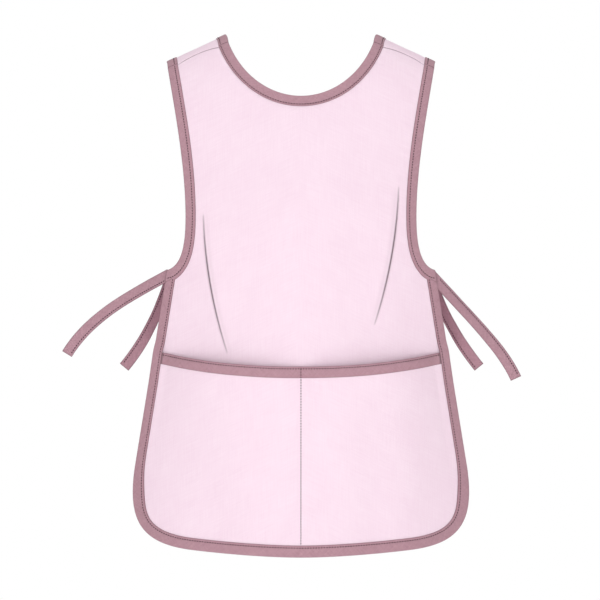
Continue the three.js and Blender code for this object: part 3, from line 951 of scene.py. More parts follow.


# The tape's third colour is the colour of its painted shade
BIAS_TAPE = WovenCloth(
    "bias_tape", (0.505, 0.300, 0.348), (0.395, 0.218, 0.262), (0.090, 0.040, 0.055), bias=True, pitch=0.0008,
    slub=(0.0013, 0.016), slub_tone=0.5, thread_height=0.4, mottle_size=0.0, tone_from=0.32, contrast=2.4,
    weave_tone=0.15, roughness=0.84, relief=(0.0006, 0.55), sheen=(0.15, 0.4),
)


@dataclass(frozen=True)
class SpunThread:
    """Dark plum sewing thread whose plies show as slanting bands."""

    light: Triple = (0.060, 0.018, 0.034)
    deep: Triple = (0.018, 0.005, 0.011)
    ply: float = 0.0007
    roughness: float = 0.6
    band_gloss: float = 0.15
    relief: Pair = (0.0002, 0.4)
    specular: float = 0.35

    def material(self) -> bpy.types.Material:
        """Makes the thread's material.

        Returns:
            The material.
        """
        shader = Shader(bpy.data.materials.new("spun_thread"))
        run, across = shader.cloth()
        band = ((run + across) * (2 * np.pi / self.ply)).sine() * 0.5 + 0.5
        return shader.surface(
            Base_Color=shader.mix(band, self.deep, self.light),
            Roughness=self.roughness - band * self.band_gloss,
            Normal=shader.bump(band, *self.relief), Specular_IOR_Level=self.specular,
        )


# Sub-assemblies


@dataclass(frozen=True)
class Seam:
    """A stitch line: points in space and the outward direction at each."""

    points: Array
    normals: Array


@dataclass(frozen=True)
class Stitching:
    """Lockstitch in heavy thread: each stitch is a short arched tube whose ends dive into the cloth."""

    pitch: float = 3.86
    length: float = 2.35
    radius: float = 0.68
    taper: float = 0.76
    arch: float = 0.3
    sink: float = 0.1
    rings: int = 5
    sides: int = 6
    # Corners of the two quads that close an end of a stitch
    caps: tuple[tuple[int, ...], ...] = ((0, 1, 2, 3), (0, 3, 4, 5))

    def sew(self, node: str, seams: Sequence[Seam], material: bpy.types.Material) -> bpy.types.Object:
        """Sews all stitches of several lines as one mesh.

        Args:
            node: Node whose cloth the stitches go with.
            seams: Lines to sew.
            material: Material of the thread.

        Returns:
            The stitches.
        """
        points, uv = (np.concatenate(parts) for parts in zip(*(self.tubes(seam) for seam in seams)))
        number = np.arange(len(points)).reshape(-1, self.rings, self.sides)
        after = np.roll(number, -1, axis=2)
        sides = np.stack([number[:, :-1], after[:, :-1], after[:, 1:], number[:, 1:]], -1).reshape(-1, 4)
        starts, ends = ([number[:, ring, list(cap)] for cap in self.caps] for ring in (0, -1))
        quads = np.concatenate([sides, *(cap[:, ::-1] for cap in starts), *ends])
        piece = WallMesh(points, quads, uv, len(sides)).put(f"{node}_stitches", material)
        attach(piece, BODY)
        LOG.info("%s: %d stitches", piece.name, len(number))
        return piece

    def tubes(self, seam: Seam) -> tuple[Array, Array]:
        """Points of every stitch on a line: rings round an arched path, thinner towards both ends.

        Args:
            seam: Line to sew.

        Returns:
            Points in order of stitch, ring and side, and their cloth coordinates.
        """
        run = run_length(seam.points)
        count = max(int((run[-1] - self.pitch / 2) / self.pitch), 1)
        middle = (run[-1] - count * self.pitch) / 2 + (np.arange(count) + 0.5) * self.pitch
        share = np.linspace(-1.0, 1.0, self.rings)
        place = middle[:, None] + share * self.length / 2
        path, outward = along(seam.points, place), unit(along(seam.normals, place, run))
        side = unit(np.cross(unit(np.gradient(path, axis=1)), outward))
        path = path + outward * (self.arch * (1 - share**2) - self.sink)[:, None]
        thick = self.radius * np.sqrt(1 - (self.taper * share) ** 2)
        angle = np.arange(self.sides) * 2 * np.pi / self.sides
        spoke = side[:, :, None] * np.cos(angle)[:, None] + outward[:, :, None] * np.sin(angle)[:, None]
        points = path[:, :, None] + spoke * thick[:, None, None]
        return points.reshape(-1, 3), grid_uv(place.ravel(), angle * self.radius)


def hang_cloth(
    node: str, mesh: WallMesh, slot: Slot, looks: Looks, size: Triple, holder: str, seams: Sequence[Seam] = ()
) -> None:
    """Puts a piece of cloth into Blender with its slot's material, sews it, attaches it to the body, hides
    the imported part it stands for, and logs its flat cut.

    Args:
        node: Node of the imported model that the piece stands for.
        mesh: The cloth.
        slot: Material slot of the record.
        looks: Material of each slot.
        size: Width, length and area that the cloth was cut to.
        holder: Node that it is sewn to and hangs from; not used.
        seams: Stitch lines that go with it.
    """
    piece = mesh.put(f"{node}_cloth", looks[slot])
    sewn = [Stitching().sew(node, seams, looks[Slot.THREAD])] if seams else []
    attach(piece, BODY)
    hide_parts(node)
    flat, area = (size[0] * MM, size[1] * MM), size[2] * MM * MM
    LOG.info("%s: %d quads, cut %.3f by %.3f m", piece.name, len(mesh.quads), *flat)


@dataclass(frozen=True)
class Patch:
    """A grid of spots between four edges: straight lines from inner to outer edge, bent as top and foot are.

    The bend of an edge is its distance from the straight line between its ends. The top's bend fades from the
    top to the foot, and the foot's the other way.
    """

    inner: Array
    outer: Array
    top: Array
    foot: Array
    share: Array

    @classmethod
    def of(cls, inner: Array, outer: Array, top: Array, foot: Array, share: Array) -> "Patch":
        """A patch whose rows start and end at the same shares of its inner and outer edge."""
        return cls(at_shares(inner, share), at_shares(outer, share), top, foot, share)

    @staticmethod
    def bend(edge: Array, u: Array) -> Array:
        """Distance of an edge from the straight line between its ends, at shares along it."""
        return at_shares(edge, u[..., 0]) - edge[0] * (1 - u) - edge[-1] * u

    def spots(self, across: Array) -> Array:
        """Spots by row and column, at given shares across each row.

        Args:
            across: Shares by row and column.

        Returns:
            Spots.
        """
        u, v = across[..., None], self.share[:, None, None]
        ruled = self.inner[:, None] * (1 - u) + self.outer[:, None] * u
        return ruled + self.bend(self.top, u) * (1 - v) + self.bend(self.foot, u) * v


@dataclass
class PanelPiece:
    """A front or back panel: a patch whose columns follow the drag fold, with a seam step and puckers."""

    sheet: PanelSheet
    outline: Outline
    wall: float = 1.0
    raw_inset: float = 1.5
    raw_step: float = 1.0
    row_step: float = 4.2
    columns: int = 84
    seam_rows: int = 10
    seam_run: float = 9.0
    seam_power: float = 1.7
    seam_points: int = 60
    fold_column: int = 47
    crowding: float = 0.16
    crest_start: float = 0.6
    crest_limits: Pair = (0.3, 0.8)
    crest_rounds: int = 6
    roll_depth: float = 0.9
    roll_width: float = 0.8
    allowance: Pair = (9.0, 13.0)
    allowance_rise: float = 0.7
    allowance_ease: float = 5.0
    # Painted shade: a dark line in the ditch of the shoulder seam
    ditch_width: float = 0.75
    ditch_dark: float = 0.7
    pucker: float = 0.5
    pucker_spacing: float = 13.0
    pucker_reach: float = 9.0
    pucker_from: Pair = (15.0, 40.0)
    pucker_phases: Pair = (0.4, 1.9)
    tape_width: float = 15.0

    @property
    def face(self) -> Face:
        """Which of the two panels this is."""
        return self.outline.face

    def raw_edges(self) -> tuple[Array, Array, Array]:
        """The cut edges inside the tape: neck, outer edge down to the corner, and foot from the centre out.

        Returns:
            Three rows of spots.
        """
        outline, hand = self.outline, self.face.value
        edges = (outline.armhole, evenly(outline.lower, self.raw_step))
        insets = [np.full(len(edge), self.raw_inset) for edge in edges]
        armhole, lower = self.sheet.drawn_corner(edges, hand, insets)
        neck = self.sheet.drawn_in(outline.neck, -hand, self.raw_inset)
        corner = nearest(lower, outline.corner)
        armhole[0, 1], neck[0, 1] = outline.armhole[0, 1], outline.neck[0, 1]
        lower[-1, 0] = neck[-1, 0] = 0.0
        return neck, np.concatenate([armhole, lower[1: corner + 1]]), lower[corner:][::-1]

    def rows(self, neck_share: float, length: float) -> tuple[Array, int]:
        """Shares down the panel for the rows, close together at the seam, one at the foot of the neckline.

        Args:
            neck_share: Share of the inner edge that is neckline.
            length: Length of the inner edge.

        Returns:
            The shares, and the number of the row at the foot of the neckline.
        """
        top = np.linspace(0.0, 1.0, self.seam_rows + 1) ** self.seam_power * self.seam_run / length
        steps, rest = (int(share * length / self.row_step) for share in (neck_share, 1 - neck_share))
        neck = np.linspace(top[-1], neck_share, steps + 1)[1:]
        return np.concatenate([top, neck, np.linspace(neck_share, 1.0, rest + 1)[1:]]), self.seam_rows + steps

    def patch(self) -> tuple[Patch, int]:
        """The patch of the right half, and its row at the foot of the neckline.

        Returns:
            Patch and row number.
        """
        neck, outer, foot = self.raw_edges()
        inner = np.concatenate([neck, [[0.0, foot[0, 1]]]])
        length = run_length(inner)[-1]
        share, neck_row = self.rows(run_length(neck)[-1] / length, length)
        u = np.linspace(0.0, 1.0, self.seam_points)[:, None]
        bow = self.sheet.cut.seam_bow * 4 * u * (1 - u) * np.array([0.0, 1.0])
        return Patch.of(inner, outer, inner[0] * (1 - u) + outer[0] * u - bow, foot, share), neck_row

    def shares_across(self, patch: Patch, fold: Fold) -> Array:
        """Shares across each row. One column lies on the fold's crest, and its neighbours crowd towards it.

        The crest's share is found by stepping towards it a few times. On each side of it the shares are a
        cubic of the column's place, whose slope at the crest is the crowding.

        Args:
            patch: Patch of the half panel.
            fold: Drag fold on that half.

        Returns:
            Shares by row and column.
        """
        crest = np.full((len(patch.share), 1), self.crest_start)
        width = (patch.outer - patch.inner)[:, :1]
        for _ in range(self.crest_rounds):
            spots = patch.spots(crest)
            miss = np.abs(fold.crest(self.sheet.height(spots))) - spots[..., 0]
            crest = np.clip(crest + miss / width, *self.crest_limits)
        outer_columns = self.columns - self.fold_column
        near = np.arange(self.fold_column + 1) / self.fold_column
        far = np.arange(outer_columns)[::-1] / outer_columns
        slope = self.crowding
        inside, outside = ((3 - slope) / 2 * t - (1 - slope) / 2 * t**3 for t in (near, far))
        return np.concatenate([crest * inside, 1 - (1 - crest) * outside], 1)

    def levels(self, patch: Patch, spots: Array, u: Array, neck_row: int) -> Array:
        """Height of the cloth's middle off the sheet: a step at the seam, and puckers beside the tape.

        The back's edge rolls in as a bell, and stands higher over the width of the seam's allowance, which is
        pressed towards it. The puckers are an uneven wave along the tape, in a bell beside it.

        Args:
            patch: Patch of the half panel.
            spots: Spots by row and column.
            u: Shares across, by row and column.
            neck_row: Row at the foot of the neckline.

        Returns:
            Levels by row and column.
        """
        from_seam = self.from_seam(spots)
        width = np.linalg.norm(patch.outer - patch.inner, axis=1)[:, None]
        level = np.zeros(u.shape)
        if self.face is Face.BACK:
            from_tape = np.minimum(u, 1 - u) * width - self.tape_width
            rise = self.allowance_rise * (1 - smooth(from_seam, *self.allowance))
            rise = rise * smooth(from_tape, 0.0, self.allowance_ease)
            level += rise - self.roll_depth * bell(from_seam, self.roll_width)
        below_neck = FAR * (np.arange(len(spots))[:, None] > neck_row)
        edges = (((1 - u) * width, patch.outer), (u * width + below_neck, patch.inner))
        for (distance, edge), phase in zip(edges, self.pucker_phases):
            past_tape = (distance - self.tape_width - self.pucker_reach) / self.pucker_reach
            wave = ripple(run_length(edge)[:, None], self.pucker_spacing, phase)
            level += smooth(from_seam, *self.pucker_from) * self.pucker * bell(past_tape, 1.0) * wave
        return level

    @staticmethod
    def from_seam(spots: Array) -> Array:
        """Length of cloth between each spot and the shoulder seam, the first row."""
        return np.abs(spots[..., 1] - spots[:1, :, 1])

    def half(self, patch: Patch, neck_row: int, hand: Hand) -> tuple[Array, Array, Array]:
        """One half of the panel, row by row.

        Its painted shade is dark in the ditch of the shoulder seam, and on the front along the drag fold.

        Args:
            patch: Patch of the right half.
            neck_row: Row at the foot of the neckline.
            hand: Left or right half.

        Returns:
            Spots, levels off the sheet and painted shade.
        """
        fold = self.sheet.left_fold if hand is Hand.LEFT else self.sheet.right_fold
        u = self.shares_across(patch, fold)
        spots = patch.spots(u) * [hand.value, 1.0]
        # Painted shade in the seam's ditch, and on the front the fold's painted line and band
        shade = self.ditch_dark * bell(self.from_seam(spots), self.ditch_width)
        if self.face is Face.FRONT:
            shade += fold.shade(spots[..., 0], self.sheet.height(spots))
        return spots.reshape(-1, 2), self.levels(patch, spots, u, neck_row).ravel(), shade.ravel()

    def build(self, looks: Looks) -> None:
        """Builds the panel as one wall, its two halves joined along the centre line below the neck.

        Args:
            looks: Material of each slot.
        """
        patch, neck_row = self.patch()
        halves = [self.half(patch, neck_row, hand) for hand in (Hand.RIGHT, Hand.LEFT)]
        spots, level, shade = (np.concatenate(parts) for parts in zip(*halves))
        right, left = np.arange(len(spots)).reshape(2, len(patch.share), -1)
        left[neck_row:, 0] = right[neck_row:, 0]
        quads = np.concatenate([grid_quads(right), grid_quads(left)[:, ::-1]])
        mesh = WallMesh.between(self.sheet.faces(spots, level, self.wall), quads, spots, shade)
        size = flat_size(self.sheet.pattern(spots, self.face), quads)
        hang_cloth(self.face.panel, mesh, Slot.PANEL, looks, size, Face(-self.face.value).panel)


@dataclass
class Tape:
    """Tape folded over an edge: two stitched legs on the cloth and a rounded fold past its raw edge.

    The section is carried along the edge. Each leg is a little crowned, sinks along its stitch line, is
    rounded off at its sewn edge and lifts in small puckers. The fold is half an ellipse.
    """

    node: str
    sheet: Sheet
    track: Array
    hand: int
    width: float
    stitch: float
    phase: float
    cuts: Sequence[Array] = ()
    cut_run: float = 34.0
    cover: Array | float = 0.5
    spread: Array | float = 1.0
    wall: float = 0.85
    slip: float = 0.15
    cloth: float = 0.5
    clearance: float = 0.04
    fold_depth: float = 1.5
    fold_points: int = 7
    hollow: float = 0.8
    crown: float = 0.22
    groove: float = 0.34
    groove_width: float = 0.8
    rounding: float = 0.4
    rounding_width: float = 0.4
    pucker: float = 0.24
    pucker_spacing: float = 9.5
    sewn_share: float = 0.25
    sewn_run: float = 3.0
    inner_lag: float = 2.0
    even_places: int = 8
    line_places: tuple[float, ...] = (-1.5, -0.8, 0.0, 0.8, 1.5)
    edge_places: Pair = (0.25, 0.7)
    least_gap: float = 0.2
    # Painted shade at the sewn edges, the fold and the cut ends, and faintly along the stitch line
    edge_dark: float = 0.6
    edge_width: float = 0.6
    fold_width: float = 1.1
    line_dark: float = 0.05
    steps: Array = field(init=False)
    run: Array = field(init=False)

    def __post_init__(self) -> None:
        """Works out the run along the edge and the step of spot that leads a millimetre into the cloth."""
        self.run = run_length(self.sheet.point(self.track))
        direction = square = self.sheet.inward(self.track, self.hand)
        for cut, distance in zip(self.cuts, (self.run, self.run[-1] - self.run)):
            weight = (1 - smooth(distance, 0.0, self.cut_run))[:, None]
            direction = direction * (1 - weight) + unit(cut) * weight
        direction = direction / np.sum(direction * square, -1, keepdims=True)
        self.cover = np.broadcast_to(self.cover, self.run.shape)
        self.spread = np.broadcast_to(self.spread, self.run.shape)
        self.steps = self.sheet.step(self.track, direction) * self.spread[:, None]

    def raised(self, inset: Array, level: Array) -> tuple[Array, Array]:
        """Points and outward directions at insets from the fold, and at levels by station and inset.

        Args:
            inset: Insets across the tape.
            level: Levels off the sheet.

        Returns:
            Points and directions, by station and inset.
        """
        spots = self.track[:, None] + self.steps[:, None] * inset[:, None]
        normal = self.sheet.normal(spots)
        return self.sheet.point(spots) + normal * level[..., None], normal

    def legs(self, inset: Array) -> list[Array]:
        """Levels of the outer and the inner leg's face, by station and inset.

        Args:
            inset: Insets across the tape.

        Returns:
            Levels of the two legs.
        """
        crown = self.crown * np.sin(np.pi * np.clip(inset / self.width, 0.0, 1.0))
        groove = self.groove * bell(inset - self.stitch, self.groove_width)
        edge = self.rounding * bell(self.width - inset, self.rounding_width)
        free = smooth(np.abs(inset - self.stitch), 0.0, self.sewn_run)
        free = self.pucker * (self.sewn_share + (1 - self.sewn_share) * free)
        found = []
        for under, phase in ((self.cover[:, None], self.phase), (self.cloth, self.phase + self.inner_lag)):
            lift = 0.5 + 0.5 * ripple(self.run[:, None], self.pucker_spacing, phase)
            found.append(under + self.slip + self.wall + crown - groove - edge + lift * free)
        return found

    def leg_places(self) -> Array:
        """Insets across a leg from its sewn edge to the fold, close together at the edge and the stitch line.

        Returns:
            Insets, the largest first.
        """
        even = np.linspace(self.fold_depth, self.width, self.even_places)
        line, edge = self.stitch + np.array(self.line_places), self.width - np.array(self.edge_places)
        places = np.unique(np.round(np.concatenate([even, line, edge]), 3))
        places = places[(places >= self.fold_depth) & (places <= self.width)]
        return places[np.concatenate([[True], np.diff(places) > self.least_gap])][::-1]

    def folded(self, leg: Array, levels: Sequence[Array], depth: float) -> tuple[Array, Array]:
        """One face of the folded tape: a leg, half an ellipse round the raw edge, and the other leg.

        Args:
            leg: Insets across a leg.
            levels: Levels of the outer and the inner leg.
            depth: How far the ellipse reaches past the legs.

        Returns:
            Insets, and levels by station and inset.
        """
        top, bottom = levels
        angle = np.linspace(0.0, np.pi, self.fold_points + 2)[1:-1]
        middle, half = (top[:, -1:] - bottom[:, -1:]) / 2, (top[:, -1:] + bottom[:, -1:]) / 2
        inset = np.concatenate([leg, self.fold_depth - depth * np.sin(angle), leg[::-1]])
        return inset, np.concatenate([top, middle + half * np.cos(angle), -bottom[:, ::-1]], 1)

    def seams(self) -> list[Seam]:
        """The stitch lines on the outer and the inner leg.

        Returns:
            Two lines.
        """
        inset, found = np.array([self.stitch]), []
        for level, side in zip(self.legs(inset), (1.0, -1.0)):
            points, normals = self.raised(inset, side * level)
            found.append(Seam(points[:, 0], normals[:, 0] * side))
        return found

    def build(self, looks: Looks, holder: str, more_seams: Sequence[Seam] = ()) -> None:
        """Builds the tape as a folded wall with painted shade at its edges, fold and ends, and sews it.

        Args:
            looks: Material of each slot.
            holder: Node that the tape is sewn to.
            more_seams: Other stitch lines that go with the tape.
        """
        leg = self.leg_places()
        levels, cloth = self.legs(leg), (self.cover[:, None], self.cloth)
        under = [np.maximum(level - self.wall, low + self.clearance) for level, low in zip(levels, cloth)]
        inset, level = self.folded(leg, levels, self.fold_depth)
        inner = self.folded(leg, under, self.fold_depth - self.wall * self.hollow)
        faces = [self.raised(*face)[0] for face in ((inset, level), inner)]
        across = run_length(np.stack([inset, level[0]], 1))
        line = np.interp(-self.stitch, -leg, across[: len(leg)])
        # Painted shade: dark at the sewn edges and along the fold, faint on the stitch line, dark at the cut
        # ends
        from_edge = np.minimum(across, across[-1] - across)
        edges = bell(from_edge, self.edge_width) + bell(across[-1] / 2 - from_edge, self.fold_width)
        dark = self.edge_dark * edges + self.line_dark * bell(from_edge - line, self.groove_width)
        ends = self.edge_dark * bell(np.minimum(self.run, self.run[-1] - self.run), self.edge_width)
        shade = np.maximum(dark, ends[:, None]).ravel()
        mesh = WallMesh.between(faces, plain_grid(*level.shape), grid_uv(self.run, across), shade)
        wide, long = across[-1], self.run[-1]
        size = (wide * self.spread.max(), long, wide * self.spread.mean() * long)
        hang_cloth(self.node, mesh, Slot.TAPE, looks, size, holder, [*self.seams(), *more_seams])


@dataclass
class EdgeTapes:
    """All tapes on the edges of one panel, and their stitches."""

    sheet: PanelSheet
    pocket: PocketSheet
    outline: Outline
    neck_width: float = 15.0
    neck_stitch: float = 12.0
    neck_phase: float = 0.3
    armhole_width: float = 15.6
    armhole_stitch: float = 10.8
    armhole_phase: float = 1.1
    hem_width: float = 17.0
    hem_stitch: float = 13.3
    hem_phase: float = 2.2
    hem_cut_run: float = 24.0
    side_share: float = 0.79
    side_foot_z: float = -588.0
    hem_top_z: float = -659.0
    pocket_from: float = 8.0
    pocket_ease: float = 10.0
    panel_level: float = 0.5
    underarm_gap: float = -1.5
    underarm_slant: float = 26.0
    lead: int = 8
    step: float = 2.0

    def name(self, edge: str) -> str:
        """Node of the tape on an edge of this panel."""
        return f"{edge}_binding_{self.outline.face.name.lower()}"

    def between(self, start: Array, end: Array) -> Array:
        """Direction in space from one spot to another."""
        return self.sheet.point(end) - self.sheet.point(start)

    def neck(self) -> Tape:
        """Tape round the neck, its ends cut along the shoulder seams.

        Returns:
            The tape.
        """
        seam = self.between(self.outline.neck[0], self.outline.armhole[0])
        return Tape(
            self.name("neck"), self.sheet, whole(stations(self.outline.neck, self.step)),
            -self.outline.face.value, self.neck_width, self.neck_stitch, self.neck_phase, (seam, seam * FLIP),
        )

    def armhole(self, hand: Hand) -> Tape:
        """Tape down an armhole, cut along the shoulder seam and along the side.

        Args:
            hand: Left or right armhole.

        Returns:
            The tape.
        """
        outline, flip = self.outline, np.array([hand.value, 1, 1])
        seam = self.between(outline.armhole[0], outline.neck[0]) * flip
        side = self.between(outline.lower[0], outline.lower[self.lead]) * flip
        return Tape(
            f"{self.name('armhole')}_{hand.name.lower()}", self.sheet,
            stations(outline.armhole, self.step) * flip[:2], outline.face.value * hand.value,
            self.armhole_width, self.armhole_stitch, self.armhole_phase + hand.value, (seam, side),
        )

    def hem(self) -> Tape:
        """Tape down one side, round the hem and up the other, over the pocket's edges on the front.

        Seen from the front it is narrower on the sides than on the hem. It starts at the armhole tape's edge.

        Returns:
            The tape.
        """
        face, edge, half = self.outline.face.value, self.outline.armhole, self.outline.lower
        down = unit(self.between(half[0], half[self.lead]))
        into = unit(self.between(edge[-1], edge[-self.lead]))
        start = self.armhole_width / np.linalg.norm(np.cross(down, into)) + self.underarm_gap
        half = along(half, np.linspace(start, run_length(half)[-1], 4 * len(half)))
        half = stations(half, self.step)
        half[-1, 0] = 0.0
        track = whole(half)
        inward = self.sheet.inward(track, face)
        slant = np.radians(self.underarm_slant)
        cut = np.append(unit(inward[0, :2]) * np.cos(slant), np.sin(slant))
        low = smooth(-self.sheet.height(track), -self.side_foot_z, -self.hem_top_z)
        spread = (self.side_share + (1 - self.side_share) * low) / np.hypot(inward[:, 0], inward[:, 2])
        return Tape(
            self.name("hem"), self.sheet, track, face, self.hem_width, self.hem_stitch, self.hem_phase,
            (cut, cut * FLIP), self.hem_cut_run, self.hem_cover(track), spread,
        )

    def hem_cover(self, track: Array) -> Array:
        """Level of the outermost cloth under the hem tape: the panel's, or the pocket's below its top edge.

        Args:
            track: Spots of the hem tape.

        Returns:
            Level at each spot.
        """
        past_top = self.sheet.cut.pocket_top(track[:, 0]) + self.pocket_from - self.sheet.height(track)
        below = smooth(past_top, -self.pocket_ease, self.pocket_ease)
        return self.panel_level + np.where(track[:, 1] > 0, below * self.pocket.rise(track), 0.0)

    def build(self, looks: Looks) -> None:
        """Builds the panel's tapes and sews them."""
        for tape in (self.neck(), self.armhole(Hand.LEFT), self.armhole(Hand.RIGHT), self.hem()):
            tape.build(looks, self.outline.face.panel)


@dataclass
class PocketAssembly:
    """The pocket's cloth, the tape on its top edge, and the stitching that divides it."""

    sheet: PocketSheet
    outline: Outline
    tape_width: float = 16.3
    tape_stitch: float = 3.1
    tape_phase: float = 0.7
    tape_step: float = 2.8
    tape_gap: float = 0.4
    side_x: float = 190.0
    side_width: float = 13.4
    hem_width: float = 17.0
    raw_inset: float = 1.5
    raw_step: float = 1.0
    top_points: int = 90
    rows: int = 66
    columns: int = 75
    divider_start: float = 1.2
    divider_points: int = 200
    divider_ease: float = 0.6
    thread_level: float = 0.6

    def top_edge(self, x: Array, inset: float = 0.0) -> Array:
        """Spots on the pocket's top edge, or an inset below it."""
        cut = self.sheet.panel.cut
        return self.sheet.panel.spots(np.stack([x, cut.pocket_top(x) - inset], -1), Face.FRONT)

    def half_width(self) -> float:
        """Distance of the front's side edge at the height of the pocket's top."""
        z = self.sheet.panel.height(self.outline.lower)
        return float(np.interp(-self.sheet.panel.cut.pocket_top(self.side_x), -z, self.outline.lower[:, 0]))

    def spots(self) -> Array:
        """Spots of the pocket by row and column, between its top arc and the raw edges inside the tapes.

        Returns:
            Spots.
        """
        panel, inset = self.sheet.panel, self.raw_inset
        top = self.top_edge(np.linspace(0.0, self.half_width() - inset, self.top_points), inset)
        lower = panel.drawn_in(evenly(self.outline.lower, self.raw_step), 1, inset)
        lower[-1, 0] = 0.0
        lower = lower[panel.height(lower) < panel.cut.pocket_top(lower[:, 0]) - inset]
        corner = nearest(lower, self.outline.corner)
        centre = np.stack([top[0], lower[-1]])
        side = np.concatenate([top[-1:], lower[: corner + 1]])
        share = np.linspace(0.0, 1.0, self.rows + 1)
        patch = Patch.of(centre, side, top, lower[corner:][::-1], share)
        right = patch.spots(np.linspace(0.0, 1.0, self.columns + 1)[None])
        return np.concatenate([mirrored(right)[:, :0:-1], right], 1)

    def tape(self) -> Tape:
        """Tape over the pocket's top edge, between the inner edges of the side tapes.

        Returns:
            The tape.
        """
        end = self.half_width() - self.side_width - self.tape_gap
        x = np.linspace(-end, end, int(2 * end / self.tape_step) + 1)
        width, stitch = self.tape_width, self.tape_stitch
        return Tape("pocket_binding", self.sheet, self.top_edge(x), 1, width, stitch, self.tape_phase)

    def divider(self, tape: Tape) -> Seam:
        """The upright stitch line down the centre, over the tape and on to the pocket's cloth.

        Args:
            tape: Tape on the pocket's top edge.

        Returns:
            The stitch line.
        """
        cut, ease = self.sheet.panel.cut, self.divider_ease
        foot = cut.hem_centre.z + self.hem_width
        z = np.linspace(cut.pocket_top_z - self.divider_start, foot, self.divider_points)
        spots = self.sheet.panel.spots(np.stack([np.zeros_like(z), z], -1), Face.FRONT)
        over_tape = 1 - smooth(cut.pocket_top_z - z, self.tape_width - ease, self.tape_width + ease)
        level = self.thread_level + over_tape * (tape.wall + tape.slip + tape.crown)
        normal = self.sheet.normal(spots)
        return Seam(self.sheet.point(spots) + normal * level[:, None], normal)

    def build(self, looks: Looks) -> None:
        """Builds the pocket, its tape and its stitches.

        Args:
            looks: Material of each slot.
        """
        grid = self.spots()
        spots, quads = grid.reshape(-1, 2), plain_grid(*grid.shape[:2])
        mesh = WallMesh.between(self.sheet.faces(spots, np.zeros(len(spots)), self.sheet.wall), quads, spots)
        size = flat_size(self.sheet.panel.pattern(spots, Face.FRONT), quads)
        hang_cloth("pocket_panel", mesh, Slot.PANEL, looks, size, Face.FRONT.panel)
        tape = self.tape()
        tape.build(looks, "pocket_panel", [self.divider(tape)])


